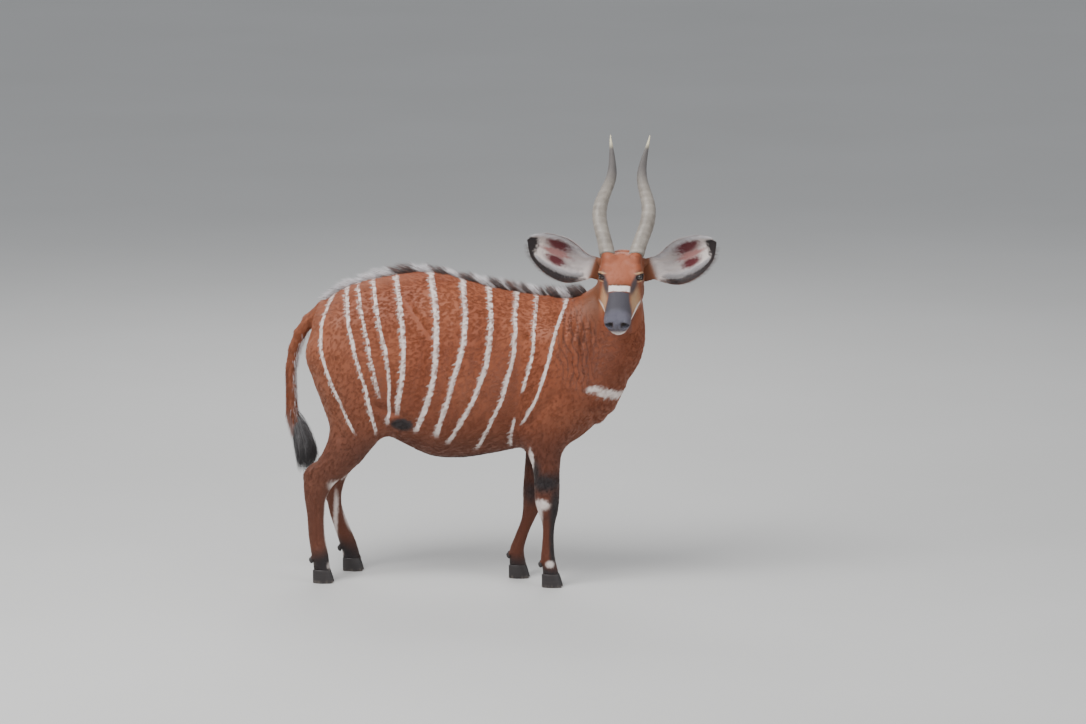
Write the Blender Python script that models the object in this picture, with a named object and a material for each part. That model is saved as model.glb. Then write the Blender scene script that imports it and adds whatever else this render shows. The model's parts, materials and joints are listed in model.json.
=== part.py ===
"""A bongo antelope at life size, standing square with its head turned to its right.

Metres, +Z up. While it is modelled, +X runs from the tail to the chest, the animal's left
is +Y, and the floor is z = 0. The last step moves the origin to the middle of the floor.
"""

import math
import random

import bmesh
import bpy
import numpy as np
from mathutils import Matrix, Vector

GAP = 0.0003
SEED = 11

# Torso sections: x, height of the back, height of the belly, half width
TORSO = (
    (-0.870, 1.080, 0.800, 0.110),
    (-0.830, 1.112, 0.710, 0.145),
    (-0.765, 1.147, 0.630, 0.178),
    (-0.660, 1.176, 0.580, 0.198),
    (-0.560, 1.196, 0.528, 0.216),
    (-0.460, 1.203, 0.486, 0.228),
    (-0.340, 1.180, 0.480, 0.228),
    (-0.220, 1.149, 0.500, 0.212),
    (-0.100, 1.130, 0.525, 0.184),
    (0.000, 1.112, 0.532, 0.164),
    (0.100, 1.050, 0.560, 0.146),
    (0.175, 0.985, 0.622, 0.122),
)
TORSO_CAPS = (0.050, 0.068)
TORSO_POWER = 2.15
TORSO_WIDEST = 0.44
TORSO_FILLET = 0.01

# Neck: its axis from the base to the nape, and sections: distance, middle, depth, half width
NECK_BASE = (0.060, 0.000, 0.880)
NECK_TOP = (0.262, -0.008, 1.190)
NECK = (
    (-0.060, 0.053, 0.192, 0.130),
    (0.040, 0.049, 0.199, 0.124),
    (0.150, 0.053, 0.191, 0.110),
    (0.230, 0.062, 0.152, 0.096),
    (0.300, 0.052, 0.112, 0.086),
    (0.370, 0.026, 0.080, 0.080),
)
NECK_CAP = 0.040
NECK_POWER = 2.1
NECK_FILLET = 0.09

# Planes that part the flesh, each as a point and the direction it faces
NECK_FACE = (0.545, 0.0, 0.838)
TORSO_CUT = ((-0.010, 0.0, 1.125), NECK_FACE)
THROAT_PLACE = (0.020, -0.150)
HEAD_FACE = (0.20, -0.75, 0.63)
HAIR_CUT = ((-0.022, 0.0, 0.0), (1.0, 0.0, 0.0))

# Legs, from the top down: height, rear edge, front edge, side place, half width
FORELEG_RIGHT = (
    (0.940, -0.060, 0.100, -0.096, 0.066),
    (0.820, -0.090, 0.150, -0.100, 0.078),
    (0.700, -0.105, 0.150, -0.099, 0.077),
    (0.600, -0.100, 0.092, -0.095, 0.066),
    (0.530, -0.082, 0.060, -0.091, 0.055),
    (0.460, -0.060, 0.050, -0.087, 0.047),
    (0.377, -0.054, 0.048, -0.084, 0.042),
    (0.330, -0.052, 0.046, -0.083, 0.043),
    (0.290, -0.040, 0.041, -0.082, 0.038),
    (0.250, -0.026, 0.031, -0.081, 0.028),
    (0.160, -0.026, 0.026, -0.080, 0.025),
    (0.105, -0.030, 0.031, -0.080, 0.031),
    (0.060, -0.022, 0.042, -0.080, 0.032),
    (0.020, -0.022, 0.052, -0.080, 0.032),
)
FORELEG_LEFT = (
    (0.940, -0.060, 0.100, 0.096, 0.066),
    (0.820, -0.090, 0.150, 0.100, 0.078),
    (0.700, -0.108, 0.145, 0.099, 0.077),
    (0.600, -0.110, 0.078, 0.095, 0.066),
    (0.530, -0.110, 0.040, 0.091, 0.055),
    (0.450, -0.115, 0.002, 0.087, 0.047),
    (0.370, -0.121, -0.024, 0.084, 0.042),
    (0.325, -0.123, -0.030, 0.083, 0.043),
    (0.280, -0.122, -0.046, 0.082, 0.038),
    (0.240, -0.126, -0.066, 0.081, 0.028),
    (0.160, -0.154, -0.100, 0.080, 0.025),
    (0.105, -0.174, -0.113, 0.080, 0.031),
    (0.060, -0.174, -0.106, 0.080, 0.032),
    (0.020, -0.174, -0.098, 0.080, 0.032),
)
HINDLEG_RIGHT = (
    (0.980, -0.880, -0.720, -0.098, 0.092),
    (0.900, -0.926, -0.680, -0.104, 0.108),
    (0.790, -0.904, -0.634, -0.108, 0.106),
    (0.680, -0.864, -0.612, -0.112, 0.092),
    (0.595, -0.842, -0.626, -0.114, 0.075),
    (0.530, -0.858, -0.672, -0.116, 0.062),
    (0.480, -0.890, -0.714, -0.118, 0.053),
    (0.430, -0.939, -0.760, -0.119, 0.045),
    (0.385, -0.942, -0.816, -0.120, 0.038),
    (0.335, -0.939, -0.846, -0.120, 0.035),
    (0.270, -0.930, -0.856, -0.120, 0.030),
    (0.170, -0.922, -0.853, -0.120, 0.028),
    (0.110, -0.913, -0.842, -0.120, 0.032),
    (0.060, -0.904, -0.836, -0.120, 0.032),
    (0.020, -0.904, -0.826, -0.120, 0.032),
)
HINDLEG_LEFT = (
    (0.980, -0.880, -0.720, 0.098, 0.092),
    (0.900, -0.926, -0.680, 0.104, 0.108),
    (0.790, -0.904, -0.634, 0.108, 0.106),
    (0.680, -0.864, -0.612, 0.114, 0.092),
    (0.595, -0.842, -0.626, 0.118, 0.075),
    (0.530, -0.856, -0.670, 0.121, 0.062),
    (0.480, -0.884, -0.712, 0.124, 0.053),
    (0.430, -0.928, -0.752, 0.126, 0.045),
    (0.385, -0.928, -0.798, 0.128, 0.038),
    (0.335, -0.916, -0.822, 0.129, 0.035),
    (0.270, -0.898, -0.832, 0.130, 0.030),
    (0.170, -0.866, -0.800, 0.130, 0.028),
    (0.110, -0.846, -0.775, 0.130, 0.032),
    (0.060, -0.832, -0.760, 0.130, 0.032),
    (0.020, -0.832, -0.746, 0.130, 0.032),
)
LEG_TOP_CAP = 0.070
LEG_FOOT_CAP = 0.020
LEG_POWER = 2.1
FORELEG_FILLET = 0.07
HINDLEG_FILLET = 0.09
LEG_INNER = 0.024
FORELEG_CUTS = (((0, 0, 0.605), (0.10, 0, 1)), ((-0.135, 0, 0), (-1, 0, 0)), ((0.135, 0, 0), (1, 0, 0)))
HINDLEG_CUTS = (((-0.610, 0, 0.605), (0.53, 0, 0.85)), ((-0.598, 0, 0), (1, 0, 0)))

# Dewclaws: height, distance behind the leg's rear edge, distance to each side, half sizes
DEWCLAW_HEIGHT = 0.096
DEWCLAW_BACK = 0.000
DEWCLAW_SIDE = 0.017
DEWCLAW_SIZES = (0.012, 0.010, 0.017)
DEWCLAW_FILLET = 0.006

# Head: the crown is its origin, the long axis runs to the nose, and heights are from the brow line
CROWN = (0.277, -0.030, 1.296)
HEAD_YAW = math.radians(87.5)
HEAD_PITCH = math.radians(40.0)
SKULL = (
    (-0.022, -0.026, -0.118, 0.060),
    (0.000, -0.002, -0.125, 0.070),
    (0.040, 0.008, -0.130, 0.081),
    (0.085, 0.006, -0.128, 0.086),
    (0.135, 0.000, -0.122, 0.077),
    (0.185, -0.006, -0.112, 0.060),
    (0.240, -0.012, -0.100, 0.053),
    (0.285, -0.018, -0.092, 0.052),
    (0.315, -0.025, -0.086, 0.047),
)
JAW = (
    (0.050, -0.060, -0.160, 0.062),
    (0.100, -0.060, -0.174, 0.076),
    (0.150, -0.060, -0.166, 0.074),
    (0.205, -0.062, -0.148, 0.060),
    (0.260, -0.070, -0.130, 0.044),
    (0.298, -0.078, -0.122, 0.034),
)
SKULL_CAPS = (0.034, 0.022)
JAW_CAPS = (0.040, 0.016)
HEAD_POWER = 2.2
SKULL_FILLET = 0.05
JAW_FILLET = 0.022

# Pairs of rounded forms on the head: place along, up and side, half sizes, and fillet
HEAD_PAIRS = (
    ((0.083, -0.022, 0.060), (0.040, 0.026, 0.028), 0.016),
    ((0.115, -0.105, 0.052), (0.055, 0.045, 0.030), 0.020),
    ((0.303, -0.046, 0.027), (0.028, 0.022, 0.024), 0.012),
    ((0.298, -0.080, 0.022), (0.030, 0.016, 0.022), 0.010),
)
CHIN = ((0.296, -0.106, 0.0), (0.026, 0.018, 0.028), 0.010)

# Eyes: place, size and look of the ball, and its lids with their opening
EYE_PLACE = (0.098, -0.032, 0.062)
EYE_RADIUS = 0.0200
EYE_LOOK = (0.30, 0.32, 0.90)
EYE_TURN = 0.25
LID_RADIUS = 0.0252
LID_FILLET = 0.010
LID_DEPTH = (0.021, 0.017)
LID_OPENING = (0.0215, 0.0122)
LID_EDGE = 0.002

# Nostrils and mouth: bent hollows through places along, up and side, with a radius at each
NOSTRIL = ((0.332, -0.036, 0.019), (0.331, -0.047, 0.028), (0.320, -0.052, 0.040))
NOSTRIL_RADII = (0.0045, 0.0080, 0.0045)
NOSTRIL_EDGE = 0.003
MOUTH = (
    (0.215, -0.088, 0.059),
    (0.255, -0.090, 0.053),
    (0.300, -0.094, 0.040),
    (0.328, -0.094, 0.018),
    (0.334, -0.092, 0.000),
)
MOUTH_RADII = (0.0030, 0.0040, 0.0042, 0.0042, 0.0042)
MOUTH_EDGE = 0.002

# Stalks of the ears, each of an upper and a lower part, and stubs of the horns, on the head
EAR_STALKS = (
    ((0.020, -0.042, 0.050), (0.012, -0.042, 0.1185)),
    ((0.036, -0.100, 0.045), (0.030, -0.106, 0.1185)),
)
EAR_STALK_RADII = (0.028, 0.022)
EAR_STALK_FILLET = 0.026
EAR_STALK_END = 0.0985
HORN_STUB = 0.034
HORN_STUB_RADII = (0.033, 0.0310)
HORN_STUB_FILLET = 0.016

# Horns: length along a straight line, and offsets from the middle along it
HORN_LENGTH = 0.530
HORN_TILT = math.radians(48.0)
HORN_SPREAD = ((0.0, 0.0580), (0.284, 0.0935), (0.640, 0.0590), (1.0, 0.0756))
HORN_SWEEP = ((0.0, 0.0), (0.35, 0.028), (0.70, 0.020), (1.0, 0.0))
HORN_RADIUS = (
    (0.0, 0.0265),
    (0.15, 0.0275),
    (0.32, 0.0270),
    (0.55, 0.0195),
    (0.80, 0.0110),
    (1.0, 0.0022),
)
HORN_TURNS = 0.9
HORN_KEEL = 0.18
HORN_RINGS = 26
HORN_SIDES = 10

# Ears: length, rise above level, and distances of both rims from the axis along it
EAR_LENGTH = 0.276
EAR_RISE = math.radians(17.0)
EAR_BACK = -0.10
EAR_START = -0.11
EAR_FACING = (0.0, -1.0, -0.12)
EAR_STATIONS = 11
EAR_ACROSS = 8
EAR_UPPER = (
    (0.0, 0.015),
    (0.12, 0.015),
    (0.20, 0.022),
    (0.28, 0.034),
    (0.45, 0.052),
    (0.60, 0.054),
    (0.81, 0.046),
    (0.94, 0.026),
    (1.0, 0.003),
)
EAR_LOWER = (
    (0.0, -0.074),
    (0.12, -0.098),
    (0.30, -0.120),
    (0.50, -0.118),
    (0.75, -0.090),
    (0.92, -0.046),
    (1.0, 0.0),
)
EAR_CUP = ((0.0, 0.028), (0.20, 0.050), (0.50, 0.044), (0.80, 0.022), (1.0, 0.002))
EAR_THICK = ((0.0, 0.040), (0.12, 0.016), (0.30, 0.0055), (1.0, 0.0030))

# Tail: a bent chain of x, z and radius, and its tuft of locks
TAIL = (
    (-0.875, 1.042, 0.036),
    (-0.934, 0.999, 0.028),
    (-0.970, 0.947, 0.026),
    (-0.994, 0.888, 0.024),
    (-1.006, 0.820, 0.023),
    (-1.004, 0.740, 0.022),
    (-1.002, 0.660, 0.024),
    (-0.987, 0.600, 0.021),
    (-0.962, 0.530, 0.010),
)
TAIL_FILLET = 0.018
TAIL_CUTS = (
    ((-0.939, 0, 0.98), (1.0, 0, 0.107)),
    ((0, 0.060, 0), (0, 1, 0)),
    ((0, -0.060, 0), (0, -1, 0)),
)
TUFT_LOCKS = 14
TUFT_TOP = 0.655
TUFT_DROP = 0.115
TUFT_TIP = (-0.961, 0.0, 0.402)
TUFT_BULGE = 0.072
TUFT_FLARE = 0.125
TUFT_WIDTH = 0.050

# Hooves: two claws a foot, cut level at the coronet
CORONET = 0.052
CLAW_LENGTH = 0.078
CLAW_WIDTH = 0.031
CLAW_SIDES = 12
CLAW_TAPER = 0.42
CLEFT = 0.0030

# Rings of a claw: height, share of the length, share of the width, shift forward
CLAW_RINGS = (
    (0.0, 1.00, 1.00, 0.006),
    (0.022, 0.93, 0.98, 0.003),
    (CORONET - GAP, 0.80, 0.92, -0.002),
)

# Crest on the back and mane on the neck, each from its rear end to its front end:
# places along, lock lengths, and rise of the locks for each unit they lie back
CREST_LOCKS = 36
CREST_PLACE = (-0.850, -0.034)
CREST_LENGTH = (0.045, 0.074, 0.080, 0.070)
CREST_RISE = (0.18, 0.60, 0.90, 1.80)
MANE_LOCKS = 10
MANE_PLACE = (0.005, 0.115)
MANE_LENGTH = (0.070, 0.062)
MANE_RISE = (2.00, 1.50)
LOCK_TIP = 0.0007
LOCK_FLAT = 0.30
HAIR_WIDTH = 0.030
HAIR_SINK = 0.013
HAIR_CURL = (-0.012, 0.0, -0.003)

# Grids: the box of each part of the flesh, its cell, and the triangles it is brought down to
HEAD_BOX = ((0.13, -0.34, 0.94), (0.42, 0.13, 1.36))
HEAD_CELL = 0.0048
HEAD_TRIANGLES = 5000
TORSO_BOX = ((-1.0, -0.26, 0.40), (0.42, 0.26, 1.25))
TORSO_CELL = 0.020
TORSO_TRIANGLES = 2700
NECK_BOX = ((-0.02, -0.22, 0.78), (0.42, 0.20, 1.36))
NECK_CELL = 0.016
NECK_TRIANGLES = 1700
TAIL_BOX = ((-1.05, -0.05, 0.48), (-0.90, 0.05, 1.06))
TAIL_CELL = 0.009
TAIL_TRIANGLES = 420
LEG_REACH = 0.26
LEG_TOP = 0.90
LEG_CELL = 0.008
LEG_TRIANGLES = 760


def smooth(rows, t):
    """Values of the rows' other columns at t, on a curve that passes through every row."""
    table = np.asarray(rows, float)
    table = table[np.argsort(table[:, 0])]
    knots = table[:, 0]
    values = table[:, 1:]
    slopes = np.gradient(values, knots, axis=0)
    t = np.clip(np.asarray(t, float), knots[0], knots[-1])
    k = np.clip(np.searchsorted(knots, t, side="right") - 1, 0, len(knots) - 2)
    width = (knots[k + 1] - knots[k])[..., None]
    u = (t - knots[k])[..., None] / width
    start = (1 + 2 * u) * (1 - u) ** 2 * values[k] + u * (1 - u) ** 2 * width * slopes[k]
    end = u**2 * (3 - 2 * u) * values[k + 1] + u**2 * (u - 1) * width * slopes[k + 1]
    return start + end


def unit(vector):
    vector = np.asarray(vector, float)
    return vector / np.linalg.norm(vector)


def blend(first, second, width):
    """The union of two fields, with a fillet about as wide as the given width."""
    near = np.maximum(width - np.abs(first - second), 0) / width
    return np.minimum(first, second) - near**2 * width / 4


def carve(body, tool, width):
    """The body with the tool taken away, its edge rounded."""
    return -blend(-body, tool, width)


class Frame:
    """A place with three directions: along, up and side."""

    def __init__(self, origin, along, up):
        self.origin = np.asarray(origin, float)
        self.along = unit(along)
        self.side = unit(np.cross(up, self.along))
        self.up = np.cross(self.along, self.side)

    def local(self, points):
        return (points - self.origin) @ np.stack([self.along, self.up, self.side], 1)

    def world(self, along, up, side):
        return self.origin + along * self.along + up * self.up + side * self.side


class Loft:
    """Oval sections across a straight axis: distance, middle up, half height, half width, middle side."""

    def __init__(self, frame, rows, caps, power=2.0, widest=0.5):
        self.frame = frame
        self.rows = rows
        self.caps = caps
        self.power = power
        self.widest = widest

    def field(self, points):
        along, up, side = self.frame.local(points).T
        first = min(row[0] for row in self.rows)
        last = max(row[0] for row in self.rows)
        middle, height, width, shift = smooth(self.rows, along).T
        middle = middle - (0.5 - self.widest) * 2 * height
        up = up - middle
        side = side - shift
        tall = np.where(up > 0, 2 * (1 - self.widest), 2 * self.widest) * height
        before = np.maximum(first - along, 0) / self.caps[0]
        after = np.maximum(along - last, 0) / self.caps[1]
        reach = (
            np.abs(up / tall) ** self.power
            + np.abs(side / width) ** self.power
            + before**self.power
            + after**self.power
        ) ** (1 / self.power)
        reach = np.maximum(reach, 1e-3)
        out = np.maximum(first - along, 0) + np.maximum(along - last, 0)
        length = np.sqrt(up**2 + side**2 + out**2)
        return np.maximum(length, 1e-4) * (1 - 1 / reach)


class Chain:
    """A bent tube: round links between points, each with its own radius."""

    def __init__(self, points, radii):
        self.points = [np.asarray(point, float) for point in points]
        self.radii = radii

    def field(self, points):
        nearest = np.full(len(points), np.inf)
        links = zip(self.points, self.points[1:], self.radii, self.radii[1:])
        for start, end, first, last in links:
            run = end - start
            share = np.clip((points - start) @ run / (run @ run), 0, 1)
            gone = np.linalg.norm(points - start - share[:, None] * run, axis=1)
            nearest = blend(nearest, gone - first - share * (last - first), 0.008)
        return nearest


class Blob:
    """An oval body with half sizes along, up and side in a frame."""

    def __init__(self, frame, place, sizes):
        self.frame = frame
        self.place = np.asarray(place, float)
        self.sizes = np.asarray(sizes, float)

    def field(self, points):
        local = self.frame.local(points) - self.place
        reach = np.maximum(np.linalg.norm(local / self.sizes, axis=1), 1e-3)
        return np.linalg.norm(local, axis=1) * (1 - 1 / reach)


def head_frame():
    level = math.cos(HEAD_PITCH)
    along = (level * math.cos(HEAD_YAW), -level * math.sin(HEAD_YAW), -math.sin(HEAD_PITCH))
    return Frame(CROWN, along, (0, 0, 1))


def horn_direction():
    level = math.cos(HORN_TILT)
    return np.array((-level * math.cos(HEAD_YAW), level * math.sin(HEAD_YAW), math.sin(HORN_TILT)))


HEAD = head_frame()
HORN_FRAME = Frame(CROWN, horn_direction(), np.cross(horn_direction(), HEAD.side))


HEAD_CUT = (HEAD.world(*THROAT_PLACE, 0), HEAD_FACE)


def torso_loft():
    rows = [(x, (top + low) / 2, (top - low) / 2, width, 0) for x, top, low, width in TORSO]
    frame = Frame((0, 0, 0), (1, 0, 0), (0, 0, 1))
    return Loft(frame, rows, TORSO_CAPS, TORSO_POWER, TORSO_WIDEST)


def neck_loft():
    axis = np.subtract(NECK_TOP, NECK_BASE)
    rows = [(t, -middle, depth, width, 0) for t, middle, depth, width in NECK]
    return Loft(Frame(NECK_BASE, axis, (-1, 0, 0)), rows, (NECK_CAP, NECK_CAP), NECK_POWER)


def leg_loft(rows):
    frame = Frame((0, 0, 0), (0, 0, 1), (1, 0, 0))
    sections = [
        (z, (rear + front) / 2, (front - rear) / 2, width, -y) for z, rear, front, y, width in rows
    ]
    return Loft(frame, sections, (LEG_FOOT_CAP, LEG_TOP_CAP), LEG_POWER)


def dewclaws():
    """Two small nubs behind each foot."""
    frame = Frame((0, 0, 0), (1, 0, 0), (0, 0, 1))
    nubs = []
    for rows in LEGS.values():
        rear, _, side, _ = smooth(rows, DEWCLAW_HEIGHT)
        for sign in (1, -1):
            place = (rear - DEWCLAW_BACK, DEWCLAW_HEIGHT, side + sign * DEWCLAW_SIDE)
            nubs.append((Blob(frame, place, DEWCLAW_SIZES), DEWCLAW_FILLET))
    return nubs


def head_loft(rows, caps):
    sections = [(t, (top + low) / 2, (top - low) / 2, width, 0) for t, top, low, width in rows]
    return Loft(HEAD, sections, caps, HEAD_POWER)


def both_sides(place, sizes):
    """A pair of blobs on the head, one a side."""
    along, up, side = place
    return [Blob(HEAD, (along, up, sign * side), sizes) for sign in (1, -1)]


def eye_frame(sign):
    """A frame on an eyeball: along is its look, up is near the brow."""
    look = EYE_LOOK[0] * HEAD.along + EYE_LOOK[1] * HEAD.up + sign * EYE_LOOK[2] * HEAD.side
    place = HEAD.world(EYE_PLACE[0], EYE_PLACE[1], sign * EYE_PLACE[2])
    return Frame(place, look, HEAD.up - EYE_TURN * HEAD.along)


LEGS = {
    "foreleg_right": FORELEG_RIGHT,
    "foreleg_left": FORELEG_LEFT,
    "hindleg_right": HINDLEG_RIGHT,
    "hindleg_left": HINDLEG_LEFT,
}
TAIL_CHAIN = Chain([(x, 0, z) for x, z, _ in TAIL], [radius for _, _, radius in TAIL])


def body_forms():
    """The body's forms without the head, each with the width of its fillet."""
    forms = [(torso_loft(), TORSO_FILLET), (neck_loft(), NECK_FILLET)]
    for name, rows in LEGS.items():
        fillet = FORELEG_FILLET if name.startswith("foreleg") else HINDLEG_FILLET
        forms.append((leg_loft(rows), fillet))
    return forms + dewclaws() + [(TAIL_CHAIN, TAIL_FILLET)]


def head_forms():
    """The head's solid forms, each with the width of its fillet."""
    forms = [(head_loft(SKULL, SKULL_CAPS), SKULL_FILLET), (head_loft(JAW, JAW_CAPS), JAW_FILLET)]
    for place, sizes, fillet in HEAD_PAIRS:
        forms += [(blob, fillet) for blob in both_sides(place, sizes)]
    place, sizes, fillet = CHIN
    forms.append((Blob(HEAD, place, sizes), fillet))
    for sign in (1, -1):
        for ends in EAR_STALKS:
            stalk = [HEAD.world(along, up, sign * side) for along, up, side in ends]
            forms.append((Chain(stalk, EAR_STALK_RADII), EAR_STALK_FILLET))
        spread = HORN_SPREAD[0][1]
        start = HORN_FRAME.world(-0.010, 0, sign * spread)
        stub = HORN_FRAME.world(HORN_STUB + 0.020, 0, sign * (spread + 0.008))
        forms.append((Chain([start, stub], HORN_STUB_RADII), HORN_STUB_FILLET))
        forms.append((Blob(eye_frame(sign), (0, 0, 0), (LID_RADIUS,) * 3), LID_FILLET))
    return forms


def head_hollows():
    """What is carved from the head: lid openings, nostrils and the line of the mouth."""
    hollows = []
    for sign in (1, -1):
        place, depth = LID_DEPTH
        long, short = LID_OPENING
        hollows.append((Blob(eye_frame(sign), (place, 0, 0), (depth, short, long)), LID_EDGE))
        nostril = [HEAD.world(along, up, sign * side) for along, up, side in NOSTRIL]
        hollows.append((Chain(nostril, NOSTRIL_RADII), NOSTRIL_EDGE))
        mouth = [HEAD.world(along, up, sign * side) for along, up, side in MOUTH]
        hollows.append((Chain(mouth, MOUTH_RADII), MOUTH_EDGE))
    return hollows


FORMS = body_forms() + head_forms()
HOLLOWS = head_hollows()


def flesh(points):
    """The whole body's field: below zero inside."""
    value = np.full(len(points), 10.0)
    for form, width in FORMS:
        value = blend(value, form.field(points), width)
    for hollow, width in HOLLOWS:
        value = carve(value, hollow.field(points), width)
    return value


def project(points, field, rounds=4):
    """Moves points onto the surface of a field."""
    step = 1e-4
    for _ in range(rounds):
        value = field(points)
        slopes = []
        for axis in np.eye(3):
            slopes.append((field(points + step * axis) - field(points - step * axis)) / (2 * step))
        slope = np.stack(slopes, 1)
        size = np.maximum((slope**2).sum(1), 0.05)
        move = (value / size)[:, None] * slope
        length = np.linalg.norm(move, axis=1, keepdims=True)
        points = points - move * np.minimum(1, 0.01 / np.maximum(length, 1e-9))
    return points


def fill_pinches(inside):
    """The grid with corners filled in where two parts of the body would touch along one edge."""
    inside = inside.copy()
    while True:
        filled = 0
        for axis in range(3):
            grid = np.moveaxis(inside, axis, 0)
            a, b = grid[:, :-1, :-1], grid[:, 1:, 1:]
            c, d = grid[:, 1:, :-1], grid[:, :-1, 1:]
            pinched = (a == b) & (c == d) & (a != c)
            filled += pinched.sum()
            for part in (a, b, c, d):
                part |= pinched
        if not filled:
            return inside


def surface(field, low, high, cell):
    """A closed bmesh of the field's surface inside a box, one vertex a crossed cell."""
    axes = [np.arange(a - cell, b + 2 * cell, cell) for a, b in zip(low, high)]
    grid = np.stack(np.meshgrid(*axes, indexing="ij"), -1)
    value = field(grid.reshape(-1, 3)).reshape(grid.shape[:3])
    for axis in range(3):
        for edge in (0, -1):
            index = [slice(None)] * 3
            index[axis] = edge
            value[tuple(index)] = np.maximum(value[tuple(index)], cell)
    inside = fill_pinches(value < 0)
    shape = [n - 1 for n in value.shape]
    corners = [(i, j, k) for i in (0, 1) for j in (0, 1) for k in (0, 1)]

    def corner(array, offset):
        return array[tuple(slice(o, o + n) for o, n in zip(offset, shape))]

    count = sum(corner(inside, offset).astype(int) for offset in corners)
    crossed = (count > 0) & (count < 8)
    index = np.full(shape, -1)
    index[crossed] = np.arange(crossed.sum())
    total = np.zeros((crossed.sum(), 3))
    hits = np.zeros(crossed.sum())
    for axis in range(3):
        step = np.eye(3, dtype=int)[axis]
        for offset in corners:
            if offset[axis]:
                continue
            first = corner(value, offset)[crossed]
            second = corner(value, tuple(offset + step))[crossed]
            change = corner(inside, offset)[crossed] != corner(inside, tuple(offset + step))[crossed]
            first = np.abs(first)
            share = np.where(change, first / np.maximum(first + np.abs(second), 1e-9), 0)
            start = corner(grid, offset)[crossed]
            total += np.where(change[:, None], start + share[:, None] * step * cell, 0)
            hits += change
    points = project(total / hits[:, None], field, 2)
    bm = bmesh.new()
    verts = [bm.verts.new(point) for point in points]
    for axis in range(3):
        others = [other for other in range(3) if other != axis]
        ends = [slice(1, -1)] * 3
        ends[axis] = slice(0, -1)
        start = inside[tuple(ends)]
        ends[axis] = slice(1, None)
        change = start != inside[tuple(ends)]
        for cell_index in np.argwhere(change):
            here = cell_index + 1
            here[axis] -= 1
            ring = []
            for back in ((1, 1), (0, 1), (0, 0), (1, 0)):
                spot = here.copy()
                spot[others[0]] -= back[0]
                spot[others[1]] -= back[1]
                ring.append(verts[index[tuple(spot)]])
            if start[tuple(cell_index)] != (axis == 1):
                ring.reverse()
            bm.faces.new(ring)
    bmesh.ops.recalc_face_normals(bm, faces=bm.faces)
    return bm


def keep_largest(bm):
    """Removes every loose piece but the one with the most faces."""
    left = set(bm.faces)
    pieces = []
    while left:
        start = left.pop()
        piece = {start}
        front = [start]
        while front:
            for edge in front.pop().edges:
                for face in edge.link_faces:
                    if face in left:
                        left.discard(face)
                        piece.add(face)
                        front.append(face)
        pieces.append(piece)
    pieces.sort(key=len)
    loose = [face for piece in pieces[:-1] for face in piece]
    bmesh.ops.delete(bm, geom=loose, context="FACES")


def cut(bm, point, normal, offset=0.0):
    """Cuts away what lies past a plane and closes the cut face."""
    normal = unit(normal)
    place = np.asarray(point, float) + offset * normal
    everything = list(bm.verts) + list(bm.edges) + list(bm.faces)
    done = bmesh.ops.bisect_plane(
        bm, geom=everything, dist=1e-7, plane_co=place, plane_no=normal, clear_outer=True
    )
    edges = [part for part in done["geom_cut"] if isinstance(part, bmesh.types.BMEdge)]
    bmesh.ops.holes_fill(bm, edges=edges, sides=0)
    keep_largest(bm)


def convex_cell(planes, offset):
    """A closed convex bmesh bounded by planes that each face outwards."""
    bm = bmesh.new()
    bmesh.ops.create_cube(bm, size=3.0)
    for point, normal in planes:
        cut(bm, point, normal, offset)
    return bm


def add_object(name, bm, finish):
    bmesh.ops.triangulate(bm, faces=bm.faces)
    mesh = bpy.data.meshes.new(name)
    bm.to_mesh(mesh)
    bm.free()
    obj = bpy.data.objects.new(name, mesh)
    bpy.context.scene.collection.objects.link(obj)
    if finish:
        mesh.materials.append(finish)
    mesh.shade_smooth()
    return obj


def apply_modifiers(obj):
    """Replaces the object's mesh by the one its modifiers make."""
    graph = bpy.context.evaluated_depsgraph_get()
    mesh = bpy.data.meshes.new_from_object(obj.evaluated_get(graph))
    obj.modifiers.clear()
    obj.data = mesh


def decimated(bm, triangles):
    """The bmesh brought down to about so many triangles."""
    obj = add_object("decimated", bm, None)
    modifier = obj.modifiers.new("Fewer", "DECIMATE")
    modifier.ratio = min(1.0, triangles / len(obj.data.polygons))
    apply_modifiers(obj)
    fewer = bmesh.new()
    fewer.from_mesh(obj.data)
    bpy.data.objects.remove(obj)
    return fewer


def combine(obj, bms, operation):
    """Joins closed meshes to an object, or takes them away from it."""
    tools = bpy.data.collections.new("tools")
    for bm in bms:
        tool = add_object("tool", bm, None)
        bpy.context.scene.collection.objects.unlink(tool)
        tools.objects.link(tool)
    bpy.context.scene.collection.children.link(tools)
    modifier = obj.modifiers.new("Combine", "BOOLEAN")
    modifier.operation = operation
    modifier.operand_type = "COLLECTION"
    modifier.collection = tools
    modifier.solver = "MANIFOLD"
    finish = obj.data.materials[0]
    apply_modifiers(obj)
    for tool in list(tools.objects):
        bpy.data.objects.remove(tool)
    bpy.data.collections.remove(tools)
    bm = bmesh.new()
    bm.from_mesh(obj.data)
    keep_largest(bm)
    bmesh.ops.triangulate(bm, faces=bm.faces)
    bm.to_mesh(obj.data)
    bm.free()
    obj.data.materials.clear()
    obj.data.materials.append(finish)
    obj.data.shade_smooth()


def tube(rings):
    """A closed bmesh skinned over rings of points, with both ends capped."""
    bm = bmesh.new()
    rows = [[bm.verts.new(point) for point in ring] for ring in rings]
    count = len(rows[0])
    for row, after in zip(rows, rows[1:]):
        for i in range(count):
            bm.faces.new((row[i], row[(i + 1) % count], after[(i + 1) % count], after[i]))
    bm.faces.new(reversed(rows[0]))
    bm.faces.new(rows[-1])
    bmesh.ops.recalc_face_normals(bm, faces=bm.faces)
    return bm


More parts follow.
